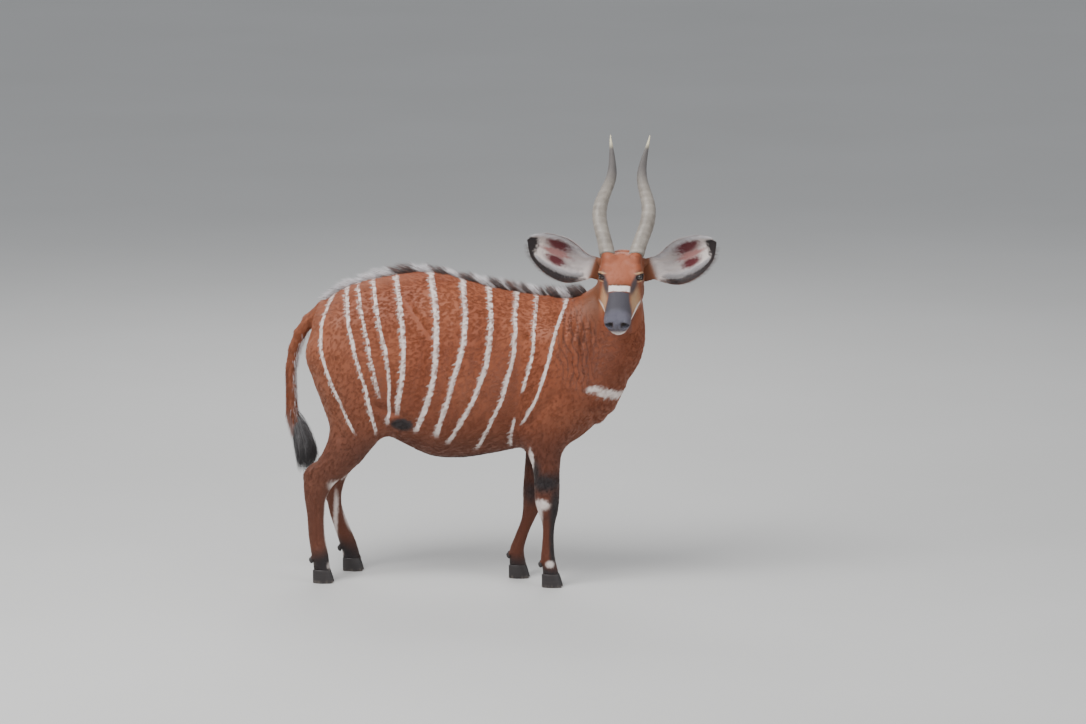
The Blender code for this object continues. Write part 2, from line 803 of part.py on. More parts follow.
def lock(root, run, curl, width, across, segments=3):
    """A flat, tapered lock of hair: it leaves its root along the run and bends by the curl."""
    root = Vector(root)
    run = Vector(run)
    curl = Vector(curl)
    across = Vector(across).normalized()
    rings = []
    for i in range(segments + 1):
        share = i / segments
        middle = root + run * share + curl * share**2
        flat = (run + 2 * curl * share).cross(across).normalized()
        half = LOCK_TIP + (width / 2 * (1 - share) ** 0.6 if i < segments else 0)
        thick = LOCK_FLAT * half + LOCK_TIP / 2
        rings.append(
            [middle + across * half, middle + flat * thick, middle - across * half, middle - flat * thick]
        )
    return tube(rings)


def finish(name, colour, roughness, metallic=0.0):
    material = bpy.data.materials.new(name)
    material.use_nodes = True
    shader = material.node_tree.nodes["Principled BSDF"]
    shader.inputs["Base Color"].default_value = (*colour, 1)
    shader.inputs["Roughness"].default_value = roughness
    shader.inputs["Metallic"].default_value = metallic
    return material


def build_head(finishes):
    bm = surface(flesh, *HEAD_BOX, HEAD_CELL)
    bm = decimated(bm, HEAD_TRIANGLES)
    cut(bm, HEAD_CUT[0], np.negative(HEAD_CUT[1]), -GAP / 2)
    for sign in (1, -1):
        cut(bm, HEAD.world(0, 0, sign * EAR_STALK_END), sign * HEAD.side)
    cut(bm, HORN_FRAME.world(HORN_STUB, 0, 0), HORN_FRAME.along)
    head = add_object("head", bm, finishes["head"])
    sockets = []
    for sign, side in ((1, "left"), (-1, "right")):
        eye = eye_frame(sign)
        sockets.append(eyeball(eye, EYE_RADIUS + GAP))
        add_object(f"eye_{side}", eyeball(eye, EYE_RADIUS), finishes["eye"])
    combine(head, sockets, "DIFFERENCE")


def eyeball(frame, radius):
    bm = bmesh.new()
    turn = Matrix((frame.side, frame.up, frame.along)).transposed().to_4x4()
    bmesh.ops.create_uvsphere(
        bm, u_segments=14, v_segments=9, radius=radius, matrix=Matrix.Translation(frame.origin) @ turn
    )
    return bm


def leg_planes(name):
    """The planes that part a leg from the torso, each facing out of the leg."""
    sign = 1 if name.endswith("left") else -1
    cuts = FORELEG_CUTS if name.startswith("foreleg") else HINDLEG_CUTS
    return [((0, sign * LEG_INNER, 0), (0, -sign, 0)), *cuts]


def build_leg(name, rows, finishes):
    rear = min(row[1] for row in rows)
    front = max(row[2] for row in rows)
    sign = 1 if name.endswith("left") else -1
    side = sorted((0.0, sign * LEG_REACH))
    bm = surface(flesh, (rear - 0.03, side[0], 0.02), (front + 0.03, side[1], LEG_TOP), LEG_CELL)
    bm = decimated(bm, 2 * LEG_TRIANGLES)
    for point, normal in leg_planes(name):
        cut(bm, point, normal, -GAP / 2)
    cut(bm, (0, 0, CORONET), (0, 0, -1))
    bm = decimated(bm, LEG_TRIANGLES)
    add_object(name, bm, finishes["leg"])


def build_torso(finishes):
    bm = surface(flesh, *TORSO_BOX, TORSO_CELL)
    bm = decimated(bm, TORSO_TRIANGLES)
    cut(bm, *TORSO_CUT, -GAP / 2)
    torso = add_object("torso", bm, finishes["coat"])
    cells = [convex_cell(leg_planes(name), GAP / 2) for name in LEGS]
    cells.append(convex_cell(TAIL_CUTS, GAP / 2))
    combine(torso, cells, "DIFFERENCE")
    return torso


def build_neck(finishes):
    bm = surface(flesh, *NECK_BOX, NECK_CELL)
    bm = decimated(bm, NECK_TRIANGLES)
    cut(bm, TORSO_CUT[0], np.negative(TORSO_CUT[1]), -GAP / 2)
    cut(bm, *HEAD_CUT, -GAP / 2)
    return add_object("neck", bm, finishes["coat"])


def build_tail(finishes):
    bm = surface(flesh, *TAIL_BOX, TAIL_CELL)
    bm = decimated(bm, 2 * TAIL_TRIANGLES)
    for point, normal in TAIL_CUTS:
        cut(bm, point, normal, -GAP / 2)
    bm = decimated(bm, TAIL_TRIANGLES)
    return add_object("tail", bm, finishes["coat"])


def build_horn(side, sign, finishes):
    rings = []
    for i in range(HORN_RINGS + 1):
        share = i / HORN_RINGS
        along = HORN_STUB + GAP + share * (HORN_LENGTH - HORN_STUB)
        spread = smooth(HORN_SPREAD, along / HORN_LENGTH)[0]
        sweep = smooth(HORN_SWEEP, along / HORN_LENGTH)[0]
        radius = smooth(HORN_RADIUS, share)[0]
        ring = []
        for k in range(HORN_SIDES):
            angle = 2 * math.pi * k / HORN_SIDES
            turned = angle - sign * 2 * math.pi * HORN_TURNS * share
            reach = radius * (1 + HORN_KEEL * max(0, math.cos(turned)) ** 3)
            across = spread + reach * math.cos(angle)
            ring.append(HORN_FRAME.world(along, reach * math.sin(angle) - sweep, sign * across))
        rings.append(ring)
    add_object(f"horn_{side}", tube(rings), finishes["horn"])


def ear_frame(sign):
    """The frame of an ear: along its length, up across it, and side out of the cup."""
    along = sign * HEAD.side * math.cos(EAR_RISE) + np.array((0, EAR_BACK, math.sin(EAR_RISE)))
    place, up, _ = EAR_STALKS[0][1]
    return Frame(HEAD.world(place, up, sign * (EAR_STALK_END + GAP)), along, (0, 0, 1))


def build_ear(side, sign, finishes):
    frame = ear_frame(sign)
    facing = unit(EAR_FACING)
    rings = []
    for i in range(EAR_STATIONS + 1):
        share = EAR_START + (1 - EAR_START) * i / EAR_STATIONS
        upper = smooth(EAR_UPPER, share)[0]
        lower = smooth(EAR_LOWER, share)[0]
        cup = smooth(EAR_CUP, share)[0]
        thick = smooth(EAR_THICK, share)[0]
        middle = (upper + lower) / 2
        half = (upper - lower) / 2
        back = []
        front = []
        for k in range(EAR_ACROSS + 1):
            turn = -1 + 2 * k / EAR_ACROSS
            height = middle + half * math.sin(turn * math.pi / 2)
            depth = cup * math.cos(turn * math.pi / 2)
            place = frame.origin + share * EAR_LENGTH * frame.along + height * upright(frame, facing)
            back.append(place - facing * depth)
            inner = thick * math.cos(turn * math.pi / 2) + 0.0008
            front.append(place - facing * (depth - inner))
        rings.append(back + front[::-1])
    bm = tube(rings)
    cut(bm, HEAD.world(0, 0, sign * (EAR_STALK_END + GAP)), -sign * HEAD.side)
    add_object(f"ear_{side}", bm, finishes["ear"])


def upright(frame, facing):
    """The direction across an ear's length, upwards."""
    up = np.cross(facing, frame.along)
    return unit(up if up[2] > 0 else -up)


def build_claws(name, rows, finishes):
    """Two claws under a leg: flat soles on the floor, walls that slope back to the coronet."""
    rear, front, side, _ = smooth(rows, CORONET)
    for sign, place in ((1, "outer"), (-1, "inner")):
        middle = side + math.copysign(1, side) * sign * (CLEFT + CLAW_WIDTH) / 2
        rings = []
        for height, length, width, forward in CLAW_RINGS:
            ring = []
            for k in range(CLAW_SIDES):
                angle = 2 * math.pi * k / CLAW_SIDES
                reach = CLAW_LENGTH / 2 * length * math.cos(angle)
                taper = 1 - CLAW_TAPER * max(0, math.cos(angle)) ** 2
                wide = CLAW_WIDTH / 2 * width * math.sin(angle) * taper
                ring.append(((rear + front) / 2 + forward + reach, middle + wide, height))
            rings.append(ring)
        add_object(f"hoof_{name}_{place}", tube(rings), finishes["hoof"])


def ridge_height(x):
    """Height of the back or nape at a place along the body, found on the field."""
    heights = np.arange(0.95, 1.30, 0.0005)
    points = np.stack([np.full_like(heights, x), np.zeros_like(heights), heights], 1)
    return heights[np.argmax(flesh(points) > 0)]


def spread(values, share):
    """A value at a share of the way along evenly spaced values."""
    return np.interp(share, np.linspace(0, 1, len(values)), values)


def hair_row(draw, count, places, lengths, rises):
    """Locks in a row along the back, swept to the rear, from its rear end to its front end."""
    locks = []
    for i in range(count):
        share = i / (count - 1)
        x = spread(places, share) + draw.uniform(-0.004, 0.004)
        length = spread(lengths, share) + draw.uniform(-0.007, 0.007)
        rise = spread(rises, share) + draw.uniform(-0.10, 0.10)
        side = draw.uniform(-0.009, 0.009)
        root = (x + 0.011, side, ridge_height(x) - HAIR_SINK)
        run = Vector((-1, side * 14, rise)).normalized() * length
        locks.append(lock(root, run, HAIR_CURL, HAIR_WIDTH, (rise, side * 20, 1)))
    return locks


def parted(locks, sign):
    """The locks cut clear of the parting between the crest and the mane."""
    for bm in locks:
        cut(bm, HAIR_CUT[0], np.multiply(sign, HAIR_CUT[1]), -GAP)
        if sign < 0:
            cut(bm, TORSO_CUT[0], np.negative(TORSO_CUT[1]), -GAP)
    return locks


def tuft_locks(draw):
    """The tail's tuft: locks in rows round the end of the tail, flaring, then closing to a point."""
    heights = [z for _, z, _ in TAIL[::-1]]
    places = [x for x, _, _ in TAIL[::-1]]
    locks = []
    for i in range(TUFT_LOCKS):
        angle = i * math.pi * (3 - math.sqrt(5))
        height = TUFT_TOP - TUFT_DROP * i / TUFT_LOCKS
        out = Vector((math.cos(angle), 0.8 * math.sin(angle), 0))
        root = Vector((np.interp(height, heights, places), 0, height)) + out * 0.008
        end = Vector(TUFT_TIP) + out * 0.010 + Vector((0, 0, draw.uniform(-0.002, 0.026)))
        bulge = out * TUFT_FLARE + Vector((TUFT_BULGE, 0, 0))
        across = Vector((-out.y, out.x, 0))
        locks.append(lock(root, end - root + bulge, -bulge, TUFT_WIDTH, across, 4))
    return locks


def main():
    for obj in list(bpy.data.objects):
        bpy.data.objects.remove(obj)
    finishes = {
        "coat": finish("coat", (0.38, 0.09, 0.022), 0.8),
        "head": finish("head", (0.45, 0.13, 0.05), 0.8),
        "leg": finish("leg", (0.16, 0.045, 0.02), 0.8),
        "ear": finish("ear", (0.30, 0.10, 0.07), 0.8),
        "horn": finish("horn", (0.30, 0.25, 0.20), 0.5),
        "hoof": finish("hoof", (0.02, 0.018, 0.02), 0.45),
        "eye": finish("eye", (0.015, 0.008, 0.005), 0.1),
    }
    draw = random.Random(SEED)
    build_head(finishes)
    torso = build_torso(finishes)
    crest = hair_row(draw, CREST_LOCKS, CREST_PLACE, CREST_LENGTH, CREST_RISE)
    combine(torso, parted(crest, 1), "UNION")
    neck = build_neck(finishes)
    mane = hair_row(draw, MANE_LOCKS, MANE_PLACE, MANE_LENGTH, MANE_RISE)
    combine(neck, parted(mane, -1), "UNION")
    tail = build_tail(finishes)
    combine(tail, tuft_locks(draw), "UNION")
    for name, rows in LEGS.items():
        build_leg(name, rows, finishes)
        build_claws(name, rows, finishes)
    for side, sign in (("left", 1), ("right", -1)):
        build_horn(side, sign, finishes)
        build_ear(side, sign, finishes)
    centre_on_floor()


def centre_on_floor():
    """Moves every mesh so that the origin is the bottom centre of the whole."""
    meshes = [obj.data for obj in bpy.data.objects if obj.type == "MESH"]
    points = np.array([vertex.co for mesh in meshes for vertex in mesh.vertices])
    low = points.min(0)
    high = points.max(0)
    shift = Matrix.Translation((-(low[0] + high[0]) / 2, -(low[1] + high[1]) / 2, -low[2]))
    for mesh in meshes:
        mesh.transform(shift)


main()
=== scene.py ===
"""How the bongo antelope looks: one skin with its coat, crest, horns, eyes and hooves.

Metres. Shapes are worked out in the frame that the solids were modelled in: +X runs from the
tail to the chest, the animal's left is +Y, and the floor is z = 0. Each finished mesh is then
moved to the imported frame, by the eyes of the solids.
"""

import json
import logging
import math
import random
from dataclasses import dataclass, field
from enum import Enum
from typing import Callable, Protocol, Sequence

import bmesh
import bpy
import numpy as np
from mathutils import Matrix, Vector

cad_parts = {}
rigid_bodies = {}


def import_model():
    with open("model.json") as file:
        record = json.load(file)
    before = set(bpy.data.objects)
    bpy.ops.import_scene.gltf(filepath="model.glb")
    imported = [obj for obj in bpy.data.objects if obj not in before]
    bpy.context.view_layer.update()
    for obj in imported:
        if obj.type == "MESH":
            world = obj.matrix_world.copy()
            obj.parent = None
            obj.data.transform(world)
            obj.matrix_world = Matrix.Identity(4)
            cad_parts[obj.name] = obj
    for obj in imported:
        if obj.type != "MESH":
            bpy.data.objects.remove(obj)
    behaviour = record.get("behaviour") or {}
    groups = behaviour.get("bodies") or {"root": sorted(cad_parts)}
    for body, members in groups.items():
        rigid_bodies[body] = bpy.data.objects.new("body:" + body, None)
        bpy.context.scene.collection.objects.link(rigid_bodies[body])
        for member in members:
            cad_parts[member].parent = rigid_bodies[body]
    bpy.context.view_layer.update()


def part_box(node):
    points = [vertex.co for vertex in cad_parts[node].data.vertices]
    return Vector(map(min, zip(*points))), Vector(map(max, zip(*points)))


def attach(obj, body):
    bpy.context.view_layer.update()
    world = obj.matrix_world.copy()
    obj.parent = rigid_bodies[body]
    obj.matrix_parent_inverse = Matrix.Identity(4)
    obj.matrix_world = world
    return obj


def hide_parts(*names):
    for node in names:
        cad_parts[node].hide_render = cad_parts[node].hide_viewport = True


LOG = logging.getLogger("bongo")
Array = np.ndarray
Rows = tuple[tuple[float, ...], ...]
Place = tuple[float, float, float]
Field = Callable[[Array], Array]
SEED = 11
ROOT = "root"
BAKE_MAP = "OFBake"
BAKE_PATCH = 0.003
BOX_MARGIN = 0.04
CHAIN_FILLET = 0.008
NUDGE = 2e-4
LEAST_SLOPE = 0.05
LONGEST_MOVE = 0.006


class Side(Enum):
    """A side of the animal, valued by the sign of its direction."""

    LEFT = 1
    RIGHT = -1

    @property
    def word(self) -> str:
        """The side's name in node names."""
        return self.name.lower()


def smooth(rows: Rows, t: Array | float) -> Array:
    """Values on a curve that passes through every row.

    Args:
        rows: rows of a place and the values there.
        t: places to read.

    Returns:
        The values of the rows' other columns at each place.
    """
    table = np.asarray(rows, float)
    table = table[np.argsort(table[:, 0])]
    knots = table[:, 0]
    values = table[:, 1:]
    slopes = np.gradient(values, knots, axis=0)
    t = np.clip(np.asarray(t, float), knots[0], knots[-1])
    k = np.clip(np.searchsorted(knots, t, side="right") - 1, 0, len(knots) - 2)
    width = (knots[k + 1] - knots[k])[..., None]
    u = (t - knots[k])[..., None] / width
    start = (1 + 2 * u) * (1 - u) ** 2 * values[k] + u * (1 - u) ** 2 * width * slopes[k]
    end = u**2 * (3 - 2 * u) * values[k + 1] + u**2 * (u - 1) * width * slopes[k + 1]
    return start + end


def step(value: Array, low: float, high: float) -> Array:
    """A soft step from 0 at low to 1 at high."""
    share = np.clip((value - low) / (high - low), 0, 1)
    return share**2 * (3 - 2 * share)


def unit(vector: Sequence[float] | Array) -> Array:
    """The vector, or each row of vectors, at length 1."""
    vector = np.asarray(vector, float)
    return vector / np.maximum(np.linalg.norm(vector, axis=-1, keepdims=True), 1e-12)


def blend(first: Array, second: Array, width: float) -> Array:
    """The union of two fields, with a fillet about as wide as the given width."""
    near = np.maximum(width - np.abs(first - second), 0) / width
    return np.minimum(first, second) - near**2 * width / 4


class Axes:
    """A place with three directions: along, up and side."""

    def __init__(self, origin: Sequence[float], along: Sequence[float], up: Sequence[float]) -> None:
        """Squares the up direction to the along direction.

        Args:
            origin: the place.
            along: the first direction.
            up: a direction near the second.
        """
        self.origin = np.asarray(origin, float)
        self.along = unit(along)
        self.side = unit(np.cross(up, self.along))
        self.up = np.cross(self.along, self.side)

    def matrix(self) -> Array:
        """The three directions as columns."""
        return np.stack([self.along, self.up, self.side], 1)

    def local(self, points: Array) -> Array:
        """Points as distances along, up and side."""
        return (points - self.origin) @ self.matrix()

    def world(self, along: float, up: float, side: float) -> Array:
        """The point at these distances."""
        return self.origin + along * self.along + up * self.up + side * self.side


class Form(Protocol):
    """A rounded form given by a field that is below zero inside."""

    def field(self, points: Array) -> Array:
        """Distances to the form, below zero inside."""

    def corners(self) -> Array:
        """Points whose box holds the form."""


@dataclass
class Loft:
    """Oval sections across an axis: distance, middle up, half height, half width, middle side."""

    axes: Axes
    rows: Rows
    caps: tuple[float, float]
    power: float = 2.0
    widest: float = 0.5

    def field(self, points: Array) -> Array:
        """Distances to the loft, below zero inside."""
        along, up, side = self.axes.local(points).T
        first = min(row[0] for row in self.rows)
        last = max(row[0] for row in self.rows)
        middle, height, width, shift = smooth(self.rows, along).T
        up = up - middle + (0.5 - self.widest) * 2 * height
        side = side - shift
        tall = np.where(up > 0, 2 * (1 - self.widest), 2 * self.widest) * height
        before = np.maximum(first - along, 0) / self.caps[0]
        after = np.maximum(along - last, 0) / self.caps[1]
        reach = (
            np.abs(up / tall) ** self.power
            + np.abs(side / width) ** self.power
            + before**self.power
            + after**self.power
        ) ** (1 / self.power)
        reach = np.maximum(reach, 1e-3)
        out = np.maximum(first - along, 0) + np.maximum(along - last, 0)
        length = np.sqrt(up**2 + side**2 + out**2)
        return np.maximum(length, 1e-4) * (1 - 1 / reach)

    def corners(self) -> Array:
        """Points whose box holds the loft."""
        found = []
        for along, middle, height, width, shift in self.rows:
            for sign in (1, -1):
                for other in (1, -1):
                    found.append(self.axes.world(along, middle + sign * height, shift + other * width))
        ends = [self.axes.world(min(r[0] for r in self.rows) - self.caps[0], self.rows[0][1], 0)]
        ends.append(self.axes.world(max(r[0] for r in self.rows) + self.caps[1], self.rows[-1][1], 0))
        return np.array(found + ends)


@dataclass
class Chain:
    """A bent tube: round links between points, each with its own radius."""

    points: Sequence[Sequence[float]]
    radii: Sequence[float]

    def field(self, points: Array) -> Array:
        """Distances to the tube, below zero inside."""
        nearest = np.full(len(points), np.inf)
        for i, start in enumerate(self.points[:-1]):
            start = np.asarray(start, float)
            run = np.asarray(self.points[i + 1], float) - start
            share = np.clip((points - start) @ run / (run @ run), 0, 1)
            gone = np.linalg.norm(points - start - share[:, None] * run, axis=1)
            radius = self.radii[i] + share * (self.radii[i + 1] - self.radii[i])
            nearest = blend(nearest, gone - radius, CHAIN_FILLET)
        return nearest

    def corners(self) -> Array:
        """Points whose box holds the tube."""
        reach = max(self.radii)
        points = np.asarray(self.points, float)
        return np.concatenate([points + reach, points - reach])


@dataclass
class Blob:
    """An oval body with half sizes along, up and side."""

    axes: Axes
    place: Place
    sizes: Place

    def field(self, points: Array) -> Array:
        """Distances to the body, below zero inside."""
        local = self.axes.local(points) - np.asarray(self.place)
        reach = np.maximum(np.linalg.norm(local / np.asarray(self.sizes), axis=1), 1e-3)
        return np.linalg.norm(local, axis=1) * (1 - 1 / reach)

    def corners(self) -> Array:
        """Points whose box holds the body."""
        middle = self.axes.world(*self.place)
        reach = max(self.sizes)
        return np.array([middle + reach, middle - reach])


@dataclass
class Fitted:
    """A form with its fillet, and the box outside which it has no say."""

    form: Form
    fillet: float
    low: Array = field(init=False)
    high: Array = field(init=False)

    def __post_init__(self) -> None:
        """Works out the box."""
        corners = self.form.corners()
        self.low = corners.min(0) - self.fillet - BOX_MARGIN
        self.high = corners.max(0) + self.fillet + BOX_MARGIN

    def near(self, points: Array) -> Array:
        """Which points are in the box."""
        return ((points > self.low) & (points < self.high)).all(1)


BODY_AXES = Axes((0, 0, 0), (1, 0, 0), (0, 0, 1))


@dataclass
class Trunk:
    """Torso and neck."""

    torso: Rows = (
        (-0.870, 1.080, 0.800, 0.110),
        (-0.830, 1.112, 0.710, 0.145),
        (-0.765, 1.147, 0.630, 0.178),
        (-0.660, 1.176, 0.580, 0.198),
        (-0.560, 1.196, 0.528, 0.216),
        (-0.460, 1.203, 0.486, 0.228),
        (-0.340, 1.180, 0.480, 0.228),
        (-0.220, 1.149, 0.500, 0.212),
        (-0.100, 1.130, 0.525, 0.184),
        (0.000, 1.112, 0.532, 0.164),
        (0.100, 1.050, 0.560, 0.146),
        (0.175, 0.985, 0.622, 0.122),
    )
    torso_caps: tuple[float, float] = (0.050, 0.068)
    torso_power: float = 2.15
    torso_widest: float = 0.44
    torso_fillet: float = 0.01
    neck_base: Place = (0.060, 0.000, 0.880)
    neck_top: Place = (0.262, -0.008, 1.190)
    neck: Rows = (
        (-0.060, 0.053, 0.192, 0.130),
        (0.040, 0.049, 0.199, 0.124),
        (0.150, 0.053, 0.191, 0.110),
        (0.230, 0.062, 0.152, 0.096),
        (0.300, 0.052, 0.112, 0.086),
        (0.370, 0.026, 0.080, 0.080),
    )
    neck_cap: float = 0.040
    neck_power: float = 2.1
    neck_fillet: float = 0.09

    def neck_axes(self) -> Axes:
        """The neck's own axes, along it to the nape."""
        return Axes(self.neck_base, np.subtract(self.neck_top, self.neck_base), (-1, 0, 0))

    def forms(self) -> list[Fitted]:
        """The torso and the neck, in that order."""
        rows = tuple((x, (top + low) / 2, (top - low) / 2, width, 0) for x, top, low, width in self.torso)
        torso = Loft(BODY_AXES, rows, self.torso_caps, self.torso_power, self.torso_widest)
        rows = tuple((t, -middle, depth, width, 0) for t, middle, depth, width in self.neck)
        neck = Loft(self.neck_axes(), rows, (self.neck_cap, self.neck_cap), self.neck_power)
        return [Fitted(torso, self.torso_fillet), Fitted(neck, self.neck_fillet)]


@dataclass
class Limb:
    """A leg, from the top down: height, rear edge, front edge, side place, half width."""

    name: str
    rows: Rows
    fillet: float
    caps: tuple[float, float] = (0.020, 0.070)
    power: float = 2.1
    dewclaw_height: float = 0.096
    dewclaw_side: float = 0.017
    dewclaw_sizes: Place = (0.011, 0.009, 0.016)
    dewclaw_fillet: float = 0.010
    dewclaw_inset: float = 0.007

    def forms(self) -> list[Fitted]:
        """The leg, then the two nubs behind its foot."""
        rows = tuple(
            (z, (back + front) / 2, (front - back) / 2, width, -y) for z, back, front, y, width in self.rows
        )
        leg = Loft(Axes((0, 0, 0), (0, 0, 1), (1, 0, 0)), rows, self.caps, self.power)
        nubs = [Blob(BODY_AXES, place, self.dewclaw_sizes) for place in self.dewclaw_places()]
        return [Fitted(leg, self.fillet)] + [Fitted(nub, self.dewclaw_fillet) for nub in nubs]

    def dewclaw_places(self) -> list[Place]:
        """Middles of the dewclaws along, up and side."""
        rear, _, side, _ = smooth(self.rows, self.dewclaw_height)
        rear += self.dewclaw_inset
        return [(rear, self.dewclaw_height, side + sign * self.dewclaw_side) for sign in (1, -1)]


FORELEG_RIGHT = (
    (0.940, -0.060, 0.100, -0.096, 0.066),
    (0.820, -0.090, 0.150, -0.100, 0.078),
    (0.700, -0.105, 0.150, -0.099, 0.077),
    (0.600, -0.100, 0.092, -0.095, 0.066),
    (0.530, -0.082, 0.060, -0.091, 0.055),
    (0.460, -0.060, 0.050, -0.087, 0.047),
    (0.377, -0.054, 0.048, -0.084, 0.042),
    (0.330, -0.052, 0.046, -0.083, 0.043),
    (0.290, -0.040, 0.041, -0.082, 0.038),
    (0.250, -0.026, 0.031, -0.081, 0.028),
    (0.160, -0.026, 0.026, -0.080, 0.025),
    (0.105, -0.030, 0.031, -0.080, 0.031),
    (0.060, -0.022, 0.042, -0.080, 0.032),
    (0.020, -0.022, 0.052, -0.080, 0.032),
)
FORELEG_LEFT = (
    (0.940, -0.060, 0.100, 0.096, 0.066),
    (0.820, -0.090, 0.150, 0.100, 0.078),
    (0.700, -0.108, 0.145, 0.099, 0.077),
    (0.600, -0.110, 0.078, 0.095, 0.066),
    (0.530, -0.110, 0.040, 0.091, 0.055),
    (0.450, -0.115, 0.002, 0.087, 0.047),
    (0.370, -0.121, -0.024, 0.084, 0.042),
    (0.325, -0.123, -0.030, 0.083, 0.043),
    (0.280, -0.122, -0.046, 0.082, 0.038),
    (0.240, -0.126, -0.066, 0.081, 0.028),
    (0.160, -0.154, -0.100, 0.080, 0.025),
    (0.105, -0.174, -0.113, 0.080, 0.031),
    (0.060, -0.174, -0.106, 0.080, 0.032),
    (0.020, -0.174, -0.098, 0.080, 0.032),
)
HINDLEG_RIGHT = (
    (0.980, -0.880, -0.720, -0.098, 0.092),
    (0.900, -0.926, -0.680, -0.104, 0.108),
    (0.790, -0.904, -0.634, -0.108, 0.106),
    (0.680, -0.864, -0.612, -0.112, 0.092),
    (0.595, -0.842, -0.626, -0.114, 0.075),
    (0.530, -0.858, -0.672, -0.116, 0.062),
    (0.480, -0.890, -0.714, -0.118, 0.053),
    (0.430, -0.939, -0.760, -0.119, 0.045),
    (0.385, -0.942, -0.816, -0.120, 0.038),
    (0.335, -0.939, -0.846, -0.120, 0.035),
    (0.270, -0.930, -0.856, -0.120, 0.030),
    (0.170, -0.922, -0.853, -0.120, 0.028),
    (0.110, -0.913, -0.842, -0.120, 0.032),
    (0.060, -0.904, -0.836, -0.120, 0.032),
    (0.020, -0.904, -0.826, -0.120, 0.032),
)
HINDLEG_LEFT = (
    (0.980, -0.880, -0.720, 0.098, 0.092),
    (0.900, -0.926, -0.680, 0.104, 0.108),
    (0.790, -0.904, -0.634, 0.108, 0.106),
    (0.680, -0.864, -0.612, 0.114, 0.092),
    (0.595, -0.842, -0.626, 0.118, 0.075),
    (0.530, -0.856, -0.670, 0.121, 0.062),
    (0.480, -0.884, -0.712, 0.124, 0.053),
    (0.430, -0.928, -0.752, 0.126, 0.045),
    (0.385, -0.928, -0.798, 0.128, 0.038),
    (0.335, -0.916, -0.822, 0.129, 0.035),
    (0.270, -0.898, -0.832, 0.130, 0.030),
    (0.170, -0.866, -0.800, 0.130, 0.028),
    (0.110, -0.846, -0.775, 0.130, 0.032),
    (0.060, -0.832, -0.760, 0.130, 0.032),
    (0.020, -0.832, -0.746, 0.130, 0.032),
)
LIMBS = (
    Limb("foreleg_right", FORELEG_RIGHT, 0.07),
    Limb("foreleg_left", FORELEG_LEFT, 0.07),
    Limb("hindleg_right", HINDLEG_RIGHT, 0.09),
    Limb("hindleg_left", HINDLEG_LEFT, 0.09),
)


